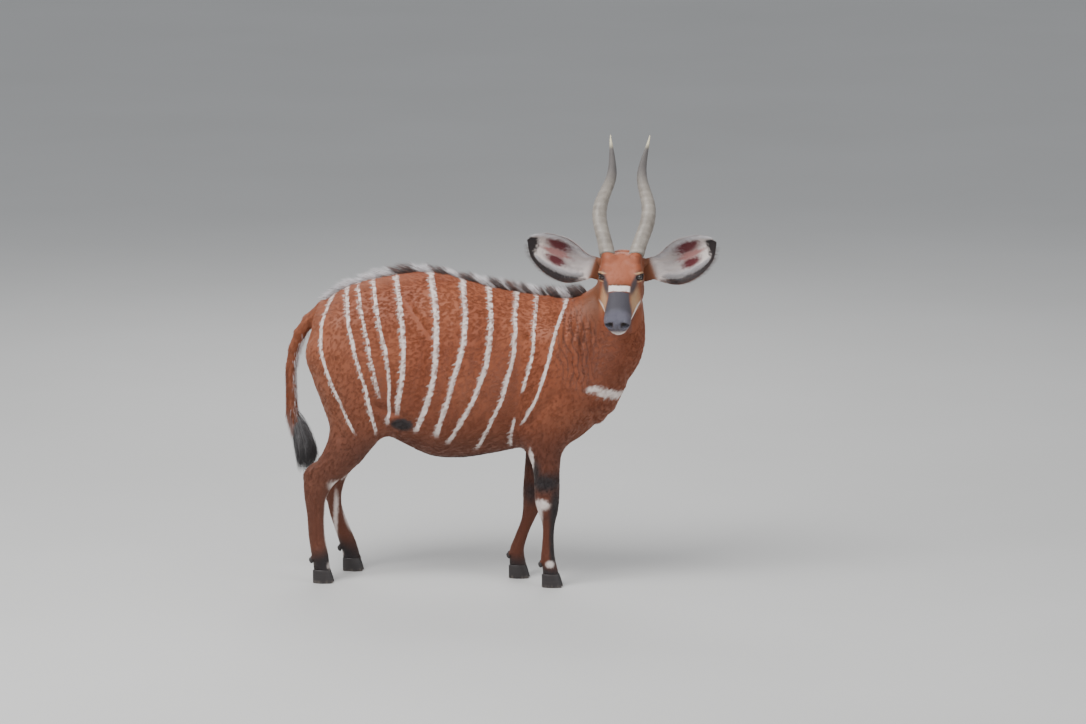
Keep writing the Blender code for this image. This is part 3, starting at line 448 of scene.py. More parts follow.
@dataclass
class Head:
    """The head with its lids, nostrils and mouth. Its axes start at the crown and run to the nose."""

    crown: Place = (0.277, -0.030, 1.296)
    yaw: float = math.radians(87.5)
    pitch: float = math.radians(40.0)
    skull: Rows = (
        (-0.022, -0.026, -0.118, 0.060),
        (0.000, -0.002, -0.125, 0.070),
        (0.040, 0.008, -0.130, 0.081),
        (0.085, 0.006, -0.128, 0.086),
        (0.135, 0.000, -0.122, 0.077),
        (0.185, -0.006, -0.112, 0.060),
        (0.240, -0.012, -0.100, 0.053),
        (0.285, -0.018, -0.092, 0.052),
        (0.315, -0.025, -0.086, 0.047),
    )
    jaw: Rows = (
        (0.050, -0.060, -0.160, 0.062),
        (0.100, -0.060, -0.174, 0.076),
        (0.150, -0.060, -0.166, 0.074),
        (0.205, -0.062, -0.148, 0.060),
        (0.260, -0.070, -0.130, 0.044),
        (0.298, -0.078, -0.122, 0.034),
    )
    skull_caps: tuple[float, float] = (0.034, 0.022)
    jaw_caps: tuple[float, float] = (0.040, 0.016)
    power: float = 2.2
    skull_fillet: float = 0.05
    jaw_fillet: float = 0.022
    pairs: tuple = (
        ((0.083, -0.022, 0.060), (0.040, 0.026, 0.028), 0.016),
        ((0.115, -0.105, 0.052), (0.055, 0.045, 0.030), 0.020),
        ((0.303, -0.046, 0.027), (0.028, 0.022, 0.024), 0.012),
        ((0.298, -0.080, 0.022), (0.030, 0.016, 0.022), 0.010),
    )
    chin: tuple = ((0.296, -0.106, 0.0), (0.026, 0.018, 0.028), 0.010)
    eye_place: Place = (0.098, -0.032, 0.062)
    eye_radius: float = 0.0200
    eye_look: Place = (0.45, 0.43, 0.78)
    eye_corner: Place = (0.62, 0.44, -0.60)
    lid_radius: float = 0.0252
    lid_fillet: float = 0.010
    lid_depth: tuple[float, float] = (0.021, 0.017)
    lid_opening: tuple[float, float] = (0.0185, 0.0088)
    lid_edge: float = 0.002
    nostril: tuple[Place, ...] = ((0.332, -0.036, 0.019), (0.331, -0.047, 0.028), (0.320, -0.052, 0.040))
    nostril_radii: tuple[float, ...] = (0.0060, 0.0100, 0.0055)
    nostril_edge: float = 0.003
    mouth: tuple[Place, ...] = (
        (0.215, -0.088, 0.059),
        (0.255, -0.090, 0.053),
        (0.300, -0.094, 0.040),
        (0.328, -0.094, 0.018),
        (0.334, -0.092, 0.000),
    )
    mouth_radii: tuple[float, ...] = (0.0030, 0.0040, 0.0042, 0.0042, 0.0042)
    mouth_edge: float = 0.002
    ear_stalks: tuple = (
        ((0.020, -0.042, 0.050), (0.012, -0.042, 0.0900)),
        ((0.036, -0.100, 0.045), (0.030, -0.106, 0.0900)),
    )
    ear_stalk_radii: tuple[float, float] = (0.027, 0.015)
    ear_stalk_fillet: float = 0.030
    ear_place: Place = (0.012, -0.042, 0.0985)
    horn_stub: float = 0.034
    horn_stub_radii: tuple[float, float] = (0.030, 0.0260)
    horn_stub_ends: tuple = ((-0.036, 0.010), (-0.024, 0.004))
    horn_stub_fillet: float = 0.020
    horn_spread: float = 0.0580
    horn_tilt: float = math.radians(48.0)
    throat: tuple[float, float] = (0.020, -0.150)
    face: Place = (0.20, -0.75, 0.63)

    def __post_init__(self) -> None:
        """Works out the head's and the horns' axes."""
        level = math.cos(self.pitch)
        along = (level * math.cos(self.yaw), -level * math.sin(self.yaw), -math.sin(self.pitch))
        self.axes = Axes(self.crown, along, (0, 0, 1))
        level = math.cos(self.horn_tilt)
        lean = (-level * math.cos(self.yaw), level * math.sin(self.yaw), math.sin(self.horn_tilt))
        self.horn_axes = Axes(self.crown, lean, np.cross(lean, self.axes.side))

    def eye_axes(self, side: Side) -> Axes:
        """Axes on an eyeball: along its look, up near the brow."""
        turned = self.axes.matrix() * (1, 1, side.value)
        look = turned @ unit(self.eye_look)
        up = np.cross(look, turned @ unit(self.eye_corner))
        return Axes(self.on_side(self.eye_place, side), look, up if up @ self.axes.up > 0 else -up)

    def on_side(self, place: Place, side: Side) -> Array:
        """The point at a place along, up and out to one side."""
        return self.axes.world(place[0], place[1], side.value * place[2])

    def loft(self, rows: Rows, caps: tuple[float, float]) -> Loft:
        """A loft along the head."""
        sections = tuple((t, (top + low) / 2, (top - low) / 2, width, 0) for t, top, low, width in rows)
        return Loft(self.axes, sections, caps, self.power)

    def forms(self) -> list[Fitted]:
        """The head's solid forms."""
        found = [Fitted(self.loft(self.skull, self.skull_caps), self.skull_fillet)]
        found.append(Fitted(self.loft(self.jaw, self.jaw_caps), self.jaw_fillet))
        for place, sizes, fillet in self.pairs:
            for side in Side:
                spot = (place[0], place[1], side.value * place[2])
                found.append(Fitted(Blob(self.axes, spot, sizes), fillet))
        place, sizes, fillet = self.chin
        found.append(Fitted(Blob(self.axes, place, sizes), fillet))
        for side in Side:
            for ends in self.ear_stalks:
                stalk = Chain([self.on_side(end, side) for end in ends], self.ear_stalk_radii)
                found.append(Fitted(stalk, self.ear_stalk_fillet))
            stub = [
                self.horn_axes.world(depth, 0, side.value * (self.horn_spread - inset))
                for depth, inset in self.horn_stub_ends
            ]
            found.append(Fitted(Chain(stub, self.horn_stub_radii), self.horn_stub_fillet))
            lids = Blob(self.eye_axes(side), (0, 0, 0), (self.lid_radius,) * 3)
            found.append(Fitted(lids, self.lid_fillet))
        return found

    def hollows(self) -> list[Fitted]:
        """What is carved from the head: lid openings, nostrils and the line of the mouth."""
        found = []
        for side in Side:
            place, depth = self.lid_depth
            long, short = self.lid_opening
            opening = Blob(self.eye_axes(side), (place, 0, 0), (depth, short, long))
            found.append(Fitted(opening, self.lid_edge))
            nostril = Chain([self.on_side(spot, side) for spot in self.nostril], self.nostril_radii)
            found.append(Fitted(nostril, self.nostril_edge))
            mouth = Chain([self.on_side(spot, side) for spot in self.mouth], self.mouth_radii)
            found.append(Fitted(mouth, self.mouth_edge))
        return found

    def share(self, points: Array) -> Array:
        """How far points are past the throat, from 0 on the neck to 1 on the head."""
        throat = self.axes.world(*self.throat, 0)
        return step((points - throat) @ unit(self.face), -0.03, 0.03)


@dataclass
class Tail:
    """The tail's core: x, z and radius down its length, and the tuft at its end."""

    chain: Rows = (
        (-0.875, 1.042, 0.036),
        (-0.934, 0.999, 0.028),
        (-0.970, 0.947, 0.026),
        (-0.994, 0.888, 0.024),
        (-1.006, 0.820, 0.023),
        (-1.004, 0.740, 0.022),
        (-1.002, 0.660, 0.024),
        (-0.987, 0.600, 0.021),
        (-0.962, 0.530, 0.010),
    )
    fillet: float = 0.018
    locks: int = 14
    tuft_top: float = 0.625
    tuft_drop: float = 0.115
    tuft_tip: Place = (-0.961, 0.0, 0.402)
    bulge: float = 0.072
    flare: float = 0.125

    def forms(self) -> list[Fitted]:
        """The tail as one bent tube."""
        chain = Chain([(x, 0, z) for x, z, _ in self.chain], [radius for _, _, radius in self.chain])
        return [Fitted(chain, self.fillet)]

    def core(self, height: float) -> tuple[float, float]:
        """The core's place along the body and its radius, at a height."""
        rows = np.array(self.chain)[::-1]
        return np.interp(height, rows[:, 1], rows[:, 0]), np.interp(height, rows[:, 1], rows[:, 2])


@dataclass
class Crease:
    """A soft groove on both sides of the body between two places (along, up)."""

    start: tuple[float, float]
    end: tuple[float, float]
    width: float
    depth: float

    def share(self, points: Array) -> Array:
        """How deep the groove is at each point, from 0 to 1."""
        flat = points[:, [0, 2]]
        start = np.array(self.start)
        run = np.array(self.end) - start
        gone = ((flat - start) @ run) / (run @ run)
        away = np.linalg.norm(flat - start - np.clip(gone, 0, 1)[:, None] * run, axis=1)
        return np.exp(-((away / self.width) ** 2)) * step(np.abs(points[:, 1]), 0.02, 0.06)


@dataclass
class Dent:
    """A soft hollow of the skin: place, half sizes and depth, which is below 0 for a swelling."""

    place: Place
    sizes: Place
    depth: float


class Flesh:
    """The whole body's field, and the skin's, which lies inside it by the depth of the coat."""

    def __init__(self, trunk: Trunk, limbs: Sequence[Limb], head: Head, tail: Tail) -> None:
        """Gathers the forms.

        Args:
            trunk: the torso and neck.
            limbs: the four legs.
            head: the head.
            tail: the tail.
        """
        self.head = head
        self.trunk = trunk
        self.trunk_forms = trunk.forms()
        self.limb_forms = [limb.forms() for limb in limbs]
        self.tail_forms = tail.forms()
        self.head_forms = head.forms()
        legs = [form for forms in self.limb_forms for form in forms]
        self.forms = self.trunk_forms + legs + self.tail_forms + self.head_forms
        self.hollows = head.hollows()

    def value(self, points: Array) -> Array:
        """The field of the flesh with its coat: below zero inside."""
        value = np.full(len(points), 10.0)
        for form in self.forms:
            near = form.near(points)
            if near.any():
                value[near] = blend(value[near], form.form.field(points[near]), form.fillet)
        for hollow in self.hollows:
            near = hollow.near(points)
            if near.any():
                value[near] = -blend(-value[near], hollow.form.field(points[near]), hollow.fillet)
        return value

    def distances(self, points: Array) -> Array:
        """Distances to the torso, neck, legs and tail, in the order of the regions."""
        forms = self.trunk_forms + [parts[0] for parts in self.limb_forms] + self.tail_forms
        return np.stack([form.form.field(points) for form in forms], 1)

    def skin(self, points: Array) -> Array:
        """The field of the bare skin."""
        return np.maximum(self.value(points) + self.depth(points), FOOT_CUT - points[:, 2])

    def depth(self, points: Array) -> Array:
        """How far the skin lies inside the solids, with the folds and hollows of the body."""
        x, y, z = points.T
        along, up, side = self.head.axes.local(points).T
        head = self.head.share(points)
        thin = step(along, 0.10, 0.27)
        depth = COAT_DEPTH - LEG_THINNING * (1 - step(z, 0.35, 0.62))
        depth = depth * (1 - head) + (FACE_DEPTH - NOSE_THINNING * thin) * head
        for dent in BODY_DENTS:
            away = (np.stack([x, np.abs(y), z], 1) - dent.place) / np.asarray(dent.sizes)
            depth += dent.depth * np.exp(-(away**2).sum(1)) * (1 - head)
        for crease in CREASES:
            depth += CREASE_GAIN * crease.depth * crease.share(points) * (1 - head)
        face = np.stack([along, up, np.abs(side)], 1)
        for dent in FACE_DENTS:
            away = (face - dent.place) / np.asarray(dent.sizes)
            depth += dent.depth * np.exp(-(away**2).sum(1)) * head
        fold = 0.5 - 0.5 * np.cos(2 * math.pi * (x + 0.22 * (z - 0.9) + 0.05 * np.sin(9 * z)) / FOLD_PITCH)
        away = ((x - FOLD_PLACE[0]) / FOLD_REACH[0]) ** 2 + ((z - FOLD_PLACE[1]) / FOLD_REACH[1]) ** 2
        place = np.exp(-away) * step(np.abs(y), 0.02, 0.07)
        depth += FOLD_DEPTH * fold**2 * place * (1 - head)
        return np.maximum(depth, LEAST_DEPTH)


FOOT_CUT = 0.044
COAT_DEPTH = 0.0045
LEG_THINNING = 0.0010
FACE_DEPTH = 0.0030
NOSE_THINNING = 0.0020
LEAST_DEPTH = 0.0008
CREASE_GAIN = 1.5
FOLD_PITCH = 0.033
FOLD_DEPTH = 0.0075
FOLD_PLACE = (0.120, 0.96)
FOLD_REACH = (0.075, 0.17)
RIBS = tuple(Crease((-0.17 - 0.05 * i, 1.03), (-0.25 - 0.05 * i, 0.70), 0.014, 0.0022) for i in range(6))
CREASES = RIBS + (
    Crease((-0.542, 1.110), (-0.438, 0.987), 0.014, 0.0050),
    Crease((-0.605, 0.840), (-0.590, 0.680), 0.022, 0.0080),
    Crease((-0.085, 0.960), (-0.105, 0.640), 0.026, 0.0080),
    Crease((0.050, 1.060), (0.120, 0.820), 0.018, 0.0050),
    Crease((0.040, 0.760), (-0.060, 0.640), 0.018, 0.0050),
    Crease((-0.800, 0.880), (-0.790, 0.580), 0.020, 0.0060),
    Crease((-0.735, 0.960), (-0.700, 0.760), 0.030, 0.0035),
    Crease((-0.865, 0.540), (-0.905, 0.400), 0.010, 0.0050),
    Crease((-0.012, 0.600), (-0.022, 0.410), 0.009, 0.0035),
    Crease((-0.890, 0.330), (-0.885, 0.140), 0.006, 0.0030),
    Crease((-0.004, 0.270), (-0.004, 0.130), 0.006, 0.0030),
    Crease((-0.640, 0.700), (-0.480, 0.640), 0.016, 0.0040),
)
BODY_DENTS = (
    Dent((-0.530, 0.20, 0.97), (0.060, 0.20, 0.085), 0.0080),
    Dent((-0.640, 0.16, 1.03), (0.070, 0.10, 0.050), -0.0050),
    Dent((-0.160, 0.20, 0.90), (0.030, 0.20, 0.130), 0.0040),
    Dent((-0.020, 0.16, 0.98), (0.050, 0.15, 0.090), -0.0030),
    Dent((0.075, 0.15, 0.83), (0.030, 0.15, 0.110), 0.0045),
    Dent((-0.080, 0.13, 0.60), (0.050, 0.10, 0.050), 0.0040),
    Dent((-0.800, 0.12, 0.70), (0.040, 0.12, 0.110), 0.0040),
    Dent((-0.640, 0.15, 0.70), (0.050, 0.12, 0.090), 0.0040),
    Dent((-0.470, 0.20, 0.70), (0.050, 0.20, 0.050), 0.0040),
)
FACE_DENTS = (
    Dent((0.118, -0.010, 0.075), (0.022, 0.014, 0.016), 0.0015),
    Dent((0.135, -0.045, 0.066), (0.020, 0.010, 0.012), 0.0025),
    Dent((0.165, -0.060, 0.064), (0.030, 0.016, 0.020), 0.0025),
    Dent((0.225, -0.040, 0.052), (0.035, 0.020, 0.020), 0.0020),
    Dent((0.300, -0.024, 0.000), (0.020, 0.012, 0.006), 0.0016),
    Dent((0.332, -0.062, 0.000), (0.012, 0.022, 0.0035), 0.0020),
    Dent((0.060, 0.004, 0.000), (0.040, 0.020, 0.012), 0.0015),
)


def settle(points: Array, value: Field, rounds: int) -> Array:
    """Moves points onto the surface of a field.

    Args:
        points: points near the surface.
        value: the field.
        rounds: how often to correct them.

    Returns:
        The moved points.
    """
    nudges = NUDGE * np.eye(3)
    for _ in range(rounds):
        here = value(points)
        slopes = [(value(points + nudge) - value(points - nudge)) / (2 * NUDGE) for nudge in nudges]
        slope = np.stack(slopes, 1)
        move = (here / np.maximum((slope**2).sum(1), LEAST_SLOPE))[:, None] * slope
        length = np.linalg.norm(move, axis=1, keepdims=True)
        points = points - move * np.minimum(1, LONGEST_MOVE / np.maximum(length, 1e-9))
    return points


@dataclass
class Net:
    """Makes a closed mesh of a field's surface, with cells half the size inside one box."""

    value: Field
    low: Array
    high: Array
    cell: float
    fine_low: Array
    fine_high: Array
    stride: int = 4

    def sampled(self, low: Array, cell: float, counts: Array) -> Array:
        """Field values on a grid, worked out only near the surface.

        Args:
            low: the grid's first corner.
            cell: its spacing.
            counts: how many points it has along each axis.

        Returns:
            The values, with pinched edges filled.
        """
        axes = [low[k] + cell * np.arange(counts[k]) for k in range(3)]
        rough = [np.append(axis[:: self.stride], axis[-1] + cell) for axis in axes]
        grid = np.stack(np.meshgrid(*rough, indexing="ij"), -1)
        guess = self.value(grid.reshape(-1, 3)).reshape(grid.shape[:3])
        near = np.abs(guess) < 1.3 * self.stride * cell
        for axis in range(3):
            part = np.moveaxis(near, axis, 0)
            wide = part.copy()
            wide[1:] |= part[:-1]
            wide[:-1] |= part[1:]
            part[:] = wide
        spread = [np.minimum(np.arange(n) // self.stride, len(r) - 1) for n, r in zip(counts, rough)]
        values = guess[np.ix_(*spread)].copy()
        wanted = near[np.ix_(*spread)]
        index = np.argwhere(wanted)
        points = np.stack([axes[k][index[:, k]] for k in range(3)], 1)
        values[wanted] = self.value(points)
        return self.unpinched(values, cell)

    def unpinched(self, values: Array, cell: float) -> Array:
        """Values with corners filled where two parts would touch along one edge."""
        inside = values < 0
        for _ in range(6):
            for axis in range(3):
                grid = np.moveaxis(inside, axis, 0)
                a, b = grid[:, :-1, :-1], grid[:, 1:, 1:]
                c, d = grid[:, 1:, :-1], grid[:, :-1, 1:]
                pinched = (a == b) & (c == d) & (a != c)
                for part in (a, b, c, d):
                    part |= pinched
        return np.where(inside & (values >= 0), -0.01 * cell, values)

    def rings(
        self, values: Array, ids: Array, low: Array, cell: float, skip: tuple | None
    ) -> tuple[Array, Array]:
        """The four cells round each crossed edge, and the place where it is crossed.

        Args:
            values: field values on the grid's points.
            ids: numbers of its cells, with one more layer all round.
            low: the grid's first corner.
            cell: its spacing.
            skip: lowest and highest point of the block that a finer grid covers.

        Returns:
            The rings of cell numbers and the places.
        """
        rings = []
        places = []
        for axis in range(3):
            others = [k for k in range(3) if k != axis]
            first = np.moveaxis(values, axis, 0)[:-1]
            second = np.moveaxis(values, axis, 0)[1:]
            change = (first < 0) != (second < 0)
            if skip:
                start, end = skip
                block = (slice(start[axis], end[axis]),)
                change[block + tuple(slice(start[k], end[k] + 1) for k in others)] = False
            spots = np.argwhere(change)
            gone = np.abs(first[change]) / (np.abs(first[change]) + np.abs(second[change]) + 1e-12)
            place = np.zeros((len(spots), 3))
            place[:, axis] = spots[:, 0] + gone
            place[:, others[0]] = spots[:, 1]
            place[:, others[1]] = spots[:, 2]
            numbers = np.moveaxis(ids, axis, 0)
            ring = [numbers[spots[:, 0] + 1, spots[:, 1] + i, spots[:, 2] + j] for i, j in RING]
            ring = np.stack(ring, 1)
            flip = (first[change] < 0) == (axis == 1)
            ring[flip] = ring[flip][:, ::-1]
            rings.append(ring)
            places.append(low + cell * place)
        return np.concatenate(rings), np.concatenate(places)

    def mesh(self) -> tuple[Array, list[tuple[int, ...]]]:
        """The surface's points and its faces."""
        size = np.ceil((self.high - self.low) / self.cell).astype(int)
        start = np.floor((self.fine_low - self.low) / self.cell).astype(int)
        end = np.ceil((self.fine_high - self.low) / self.cell).astype(int)
        fine_base = self.low + start * self.cell
        rough = self.sampled(self.low, self.cell, size + 1)
        fine = self.sampled(fine_base, self.cell / 2, 2 * (end - start) + 1)
        window = tuple(slice(a, b + 1) for a, b in zip(start, end))
        rough[window] = fine[::2, ::2, ::2]
        cells = np.pad(np.arange(size.prod()).reshape(size), 1, mode="edge")
        halves = size.prod() + np.arange((2 * (end - start)).prod()).reshape(2 * (end - start))
        reach = [np.arange(-1, 2 * n + 1) // 2 + a + 1 for n, a in zip(end - start, start)]
        padded = cells[np.ix_(*reach)]
        padded[1:-1, 1:-1, 1:-1] = halves
        first, here = self.rings(rough, cells, self.low, self.cell, (start, end))
        second, there = self.rings(fine, padded, fine_base, self.cell / 2, None)
        rings = np.concatenate([first, second])
        places = np.repeat(np.concatenate([here, there]), 4, 0)
        _, index = np.unique(rings.reshape(-1), return_inverse=True)
        index = index.reshape(-1)
        hits = np.bincount(index)
        points = np.stack([np.bincount(index, places[:, k]) / hits for k in range(3)], 1)
        faces = []
        for ring in index.reshape(-1, 4).tolist():
            face = [a for a, b in zip(ring, ring[1:] + ring[:1]) if a != b]
            if len(face) > 2:
                faces.append(tuple(face))
        return points, faces


RING = ((0, 0), (1, 0), (1, 1), (0, 1))


class Region(Enum):
    """A part of the skin, valued by its number."""

    TORSO = 0
    NECK = 1
    FORELEG_RIGHT = 2
    FORELEG_LEFT = 3
    HINDLEG_RIGHT = 4
    HINDLEG_LEFT = 5
    TAIL = 6
    HEAD = 7
    EAR_LEFT = 8
    EAR_RIGHT = 9


@dataclass
class Ear:
    """An ear: a thin cup, with distances of both rims from its axis along it."""

    head: Head
    length: float = 0.276
    rise: float = math.radians(17.0)
    back: float = -0.10
    start: float = -0.13
    facing: Place = (0.0, -1.0, -0.12)
    stations: int = 64
    across: int = 26
    skin_depth: float = 0.0014
    upper: Rows = (
        (0.0, 0.015),
        (0.12, 0.015),
        (0.20, 0.022),
        (0.28, 0.034),
        (0.45, 0.052),
        (0.60, 0.054),
        (0.81, 0.046),
        (0.94, 0.026),
        (1.0, 0.003),
    )
    lower: Rows = (
        (0.0, -0.074),
        (0.12, -0.098),
        (0.30, -0.120),
        (0.50, -0.118),
        (0.75, -0.090),
        (0.92, -0.046),
        (1.0, 0.0),
    )
    cup: Rows = ((0.0, 0.028), (0.20, 0.050), (0.50, 0.044), (0.80, 0.022), (1.0, 0.002))
    thick: Rows = ((0.0, 0.040), (0.12, 0.016), (0.30, 0.0055), (1.0, 0.0030))

    def axes(self, side: Side) -> Axes:
        """The ear's axes: along its length and up across it."""
        lean = np.array((0, self.back, math.sin(self.rise)))
        along = side.value * self.head.axes.side * math.cos(self.rise) + lean
        return Axes(self.head.on_side(self.head.ear_place, side), along, (0, 0, 1))

    def point(self, side: Side, share: float, turn: float, inside: bool) -> Array:
        """A point of the ear's skin.

        Args:
            side: which ear.
            share: place from root to tip, 0 to 1.
            turn: place across, from the lower rim at -1 to the upper rim at 1.
            inside: on the inner face, or else on the back.

        Returns:
            The point.
        """
        axes = self.axes(side)
        facing = unit(self.facing)
        up = np.cross(facing, axes.along)
        up = unit(up if up[2] > 0 else -up)
        upper = smooth(self.upper, share)[0] - self.skin_depth
        lower = smooth(self.lower, share)[0] + self.skin_depth
        bow = math.cos(turn * math.pi / 2)
        height = (upper + lower) / 2 + (upper - lower) / 2 * math.sin(turn * math.pi / 2)
        depth = smooth(self.cup, share)[0] * bow
        if inside:
            depth -= smooth(self.thick, share)[0] * bow * 0.8
            ridge = math.exp(-((share - 0.5) / 0.28) ** 2) * bow
            depth -= 0.0028 * ridge * (math.cos(turn * 8.5 + 0.6) ** 6)
        return axes.origin + share * self.length * axes.along + height * up - facing * depth

    def mesh(self, side: Side) -> tuple[Array, list[tuple[int, ...]], Array]:
        """The ear as a closed tube.

        Args:
            side: which ear.

        Returns:
            Its points, its faces, and for each point its place: share, turn, and 1 inside or 0 on the back.
        """
        turns = np.linspace(-1, 1, self.across + 1)
        points = []
        places = []
        for share in np.linspace(self.start, 1.0, self.stations + 1):
            for turn in turns:
                points.append(self.point(side, share, turn, False))
                places.append((share, turn, 0.0))
            for turn in turns[::-1]:
                points.append(self.point(side, share, turn, True))
                places.append((share, turn, 1.0))
        count = 2 * (self.across + 1)
        faces = tube(self.stations + 1, count)
        if side is Side.RIGHT:
            faces = [face[::-1] for face in faces]
        return np.array(points), faces, np.array(places)


class Maker:
    """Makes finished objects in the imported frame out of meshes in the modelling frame."""

    def __init__(self, head: Head) -> None:
        """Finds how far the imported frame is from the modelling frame.

        Args:
            head: the head, whose eyes are compared with the solids' eyes.
        """
        shifts = []
        for side in Side:
            low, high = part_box(f"eye_{side.word}")
            shifts.append((np.array(low) + np.array(high)) / 2 - head.eye_axes(side).origin)
        self.shift = np.mean(shifts, 0)

    def publish(
        self, mesh: bpy.types.Mesh, name: str, finish: bpy.types.Material | None
    ) -> bpy.types.Object:
        """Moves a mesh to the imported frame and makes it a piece.

        Args:
            mesh: the mesh in the modelling frame.
            name: the piece's name.
            finish: its material, or none where it has one.

        Returns:
            The piece.
        """
        mesh.transform(Matrix.Translation(self.shift))
        mesh.name = name
        if finish:
            mesh.materials.clear()
            mesh.materials.append(finish)
        piece = bpy.data.objects.new(name, mesh)
        bpy.context.scene.collection.objects.link(piece)
        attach(piece, ROOT)
        LOG.info("%s: %d triangles", name, sum(len(face.vertices) - 2 for face in mesh.polygons))
        return piece


def mesh_of(name: str, points: Array, faces: Sequence[Sequence[int]]) -> bpy.types.Mesh:
    """A smooth-shaded mesh of points and faces."""
    mesh = bpy.data.meshes.new(name)
    mesh.from_pydata(points.tolist() if isinstance(points, np.ndarray) else points, [], faces)
    mesh.shade_smooth()
    return mesh


def store(mesh: bpy.types.Mesh, name: str, values: Array, domain: str = "POINT") -> None:
    """Keeps numbers or vectors on a mesh as a named attribute."""
    values = np.asarray(values, np.float32)
    kinds = {1: ("FLOAT", "value"), 2: ("FLOAT2", "vector"), 3: ("FLOAT_VECTOR", "vector")}
    kind, label = kinds[1 if values.ndim == 1 else values.shape[1]]
    attribute = mesh.attributes.get(name) or mesh.attributes.new(name, kind, domain)
    attribute.data.foreach_set(label, values.reshape(-1))


def read(items: object, label: str, width: int = 1, kind: type = np.float32) -> Array:
    """One property of all items of a mesh, in rows where it has several parts."""
    values = np.empty(len(items) * width, kind)
    items.foreach_get(label, values)
    return values.reshape(-1, width) if width > 1 else values


def points_of(mesh: bpy.types.Mesh) -> Array:
    """The mesh's points."""
    return read(mesh.vertices, "co", 3).astype(float)


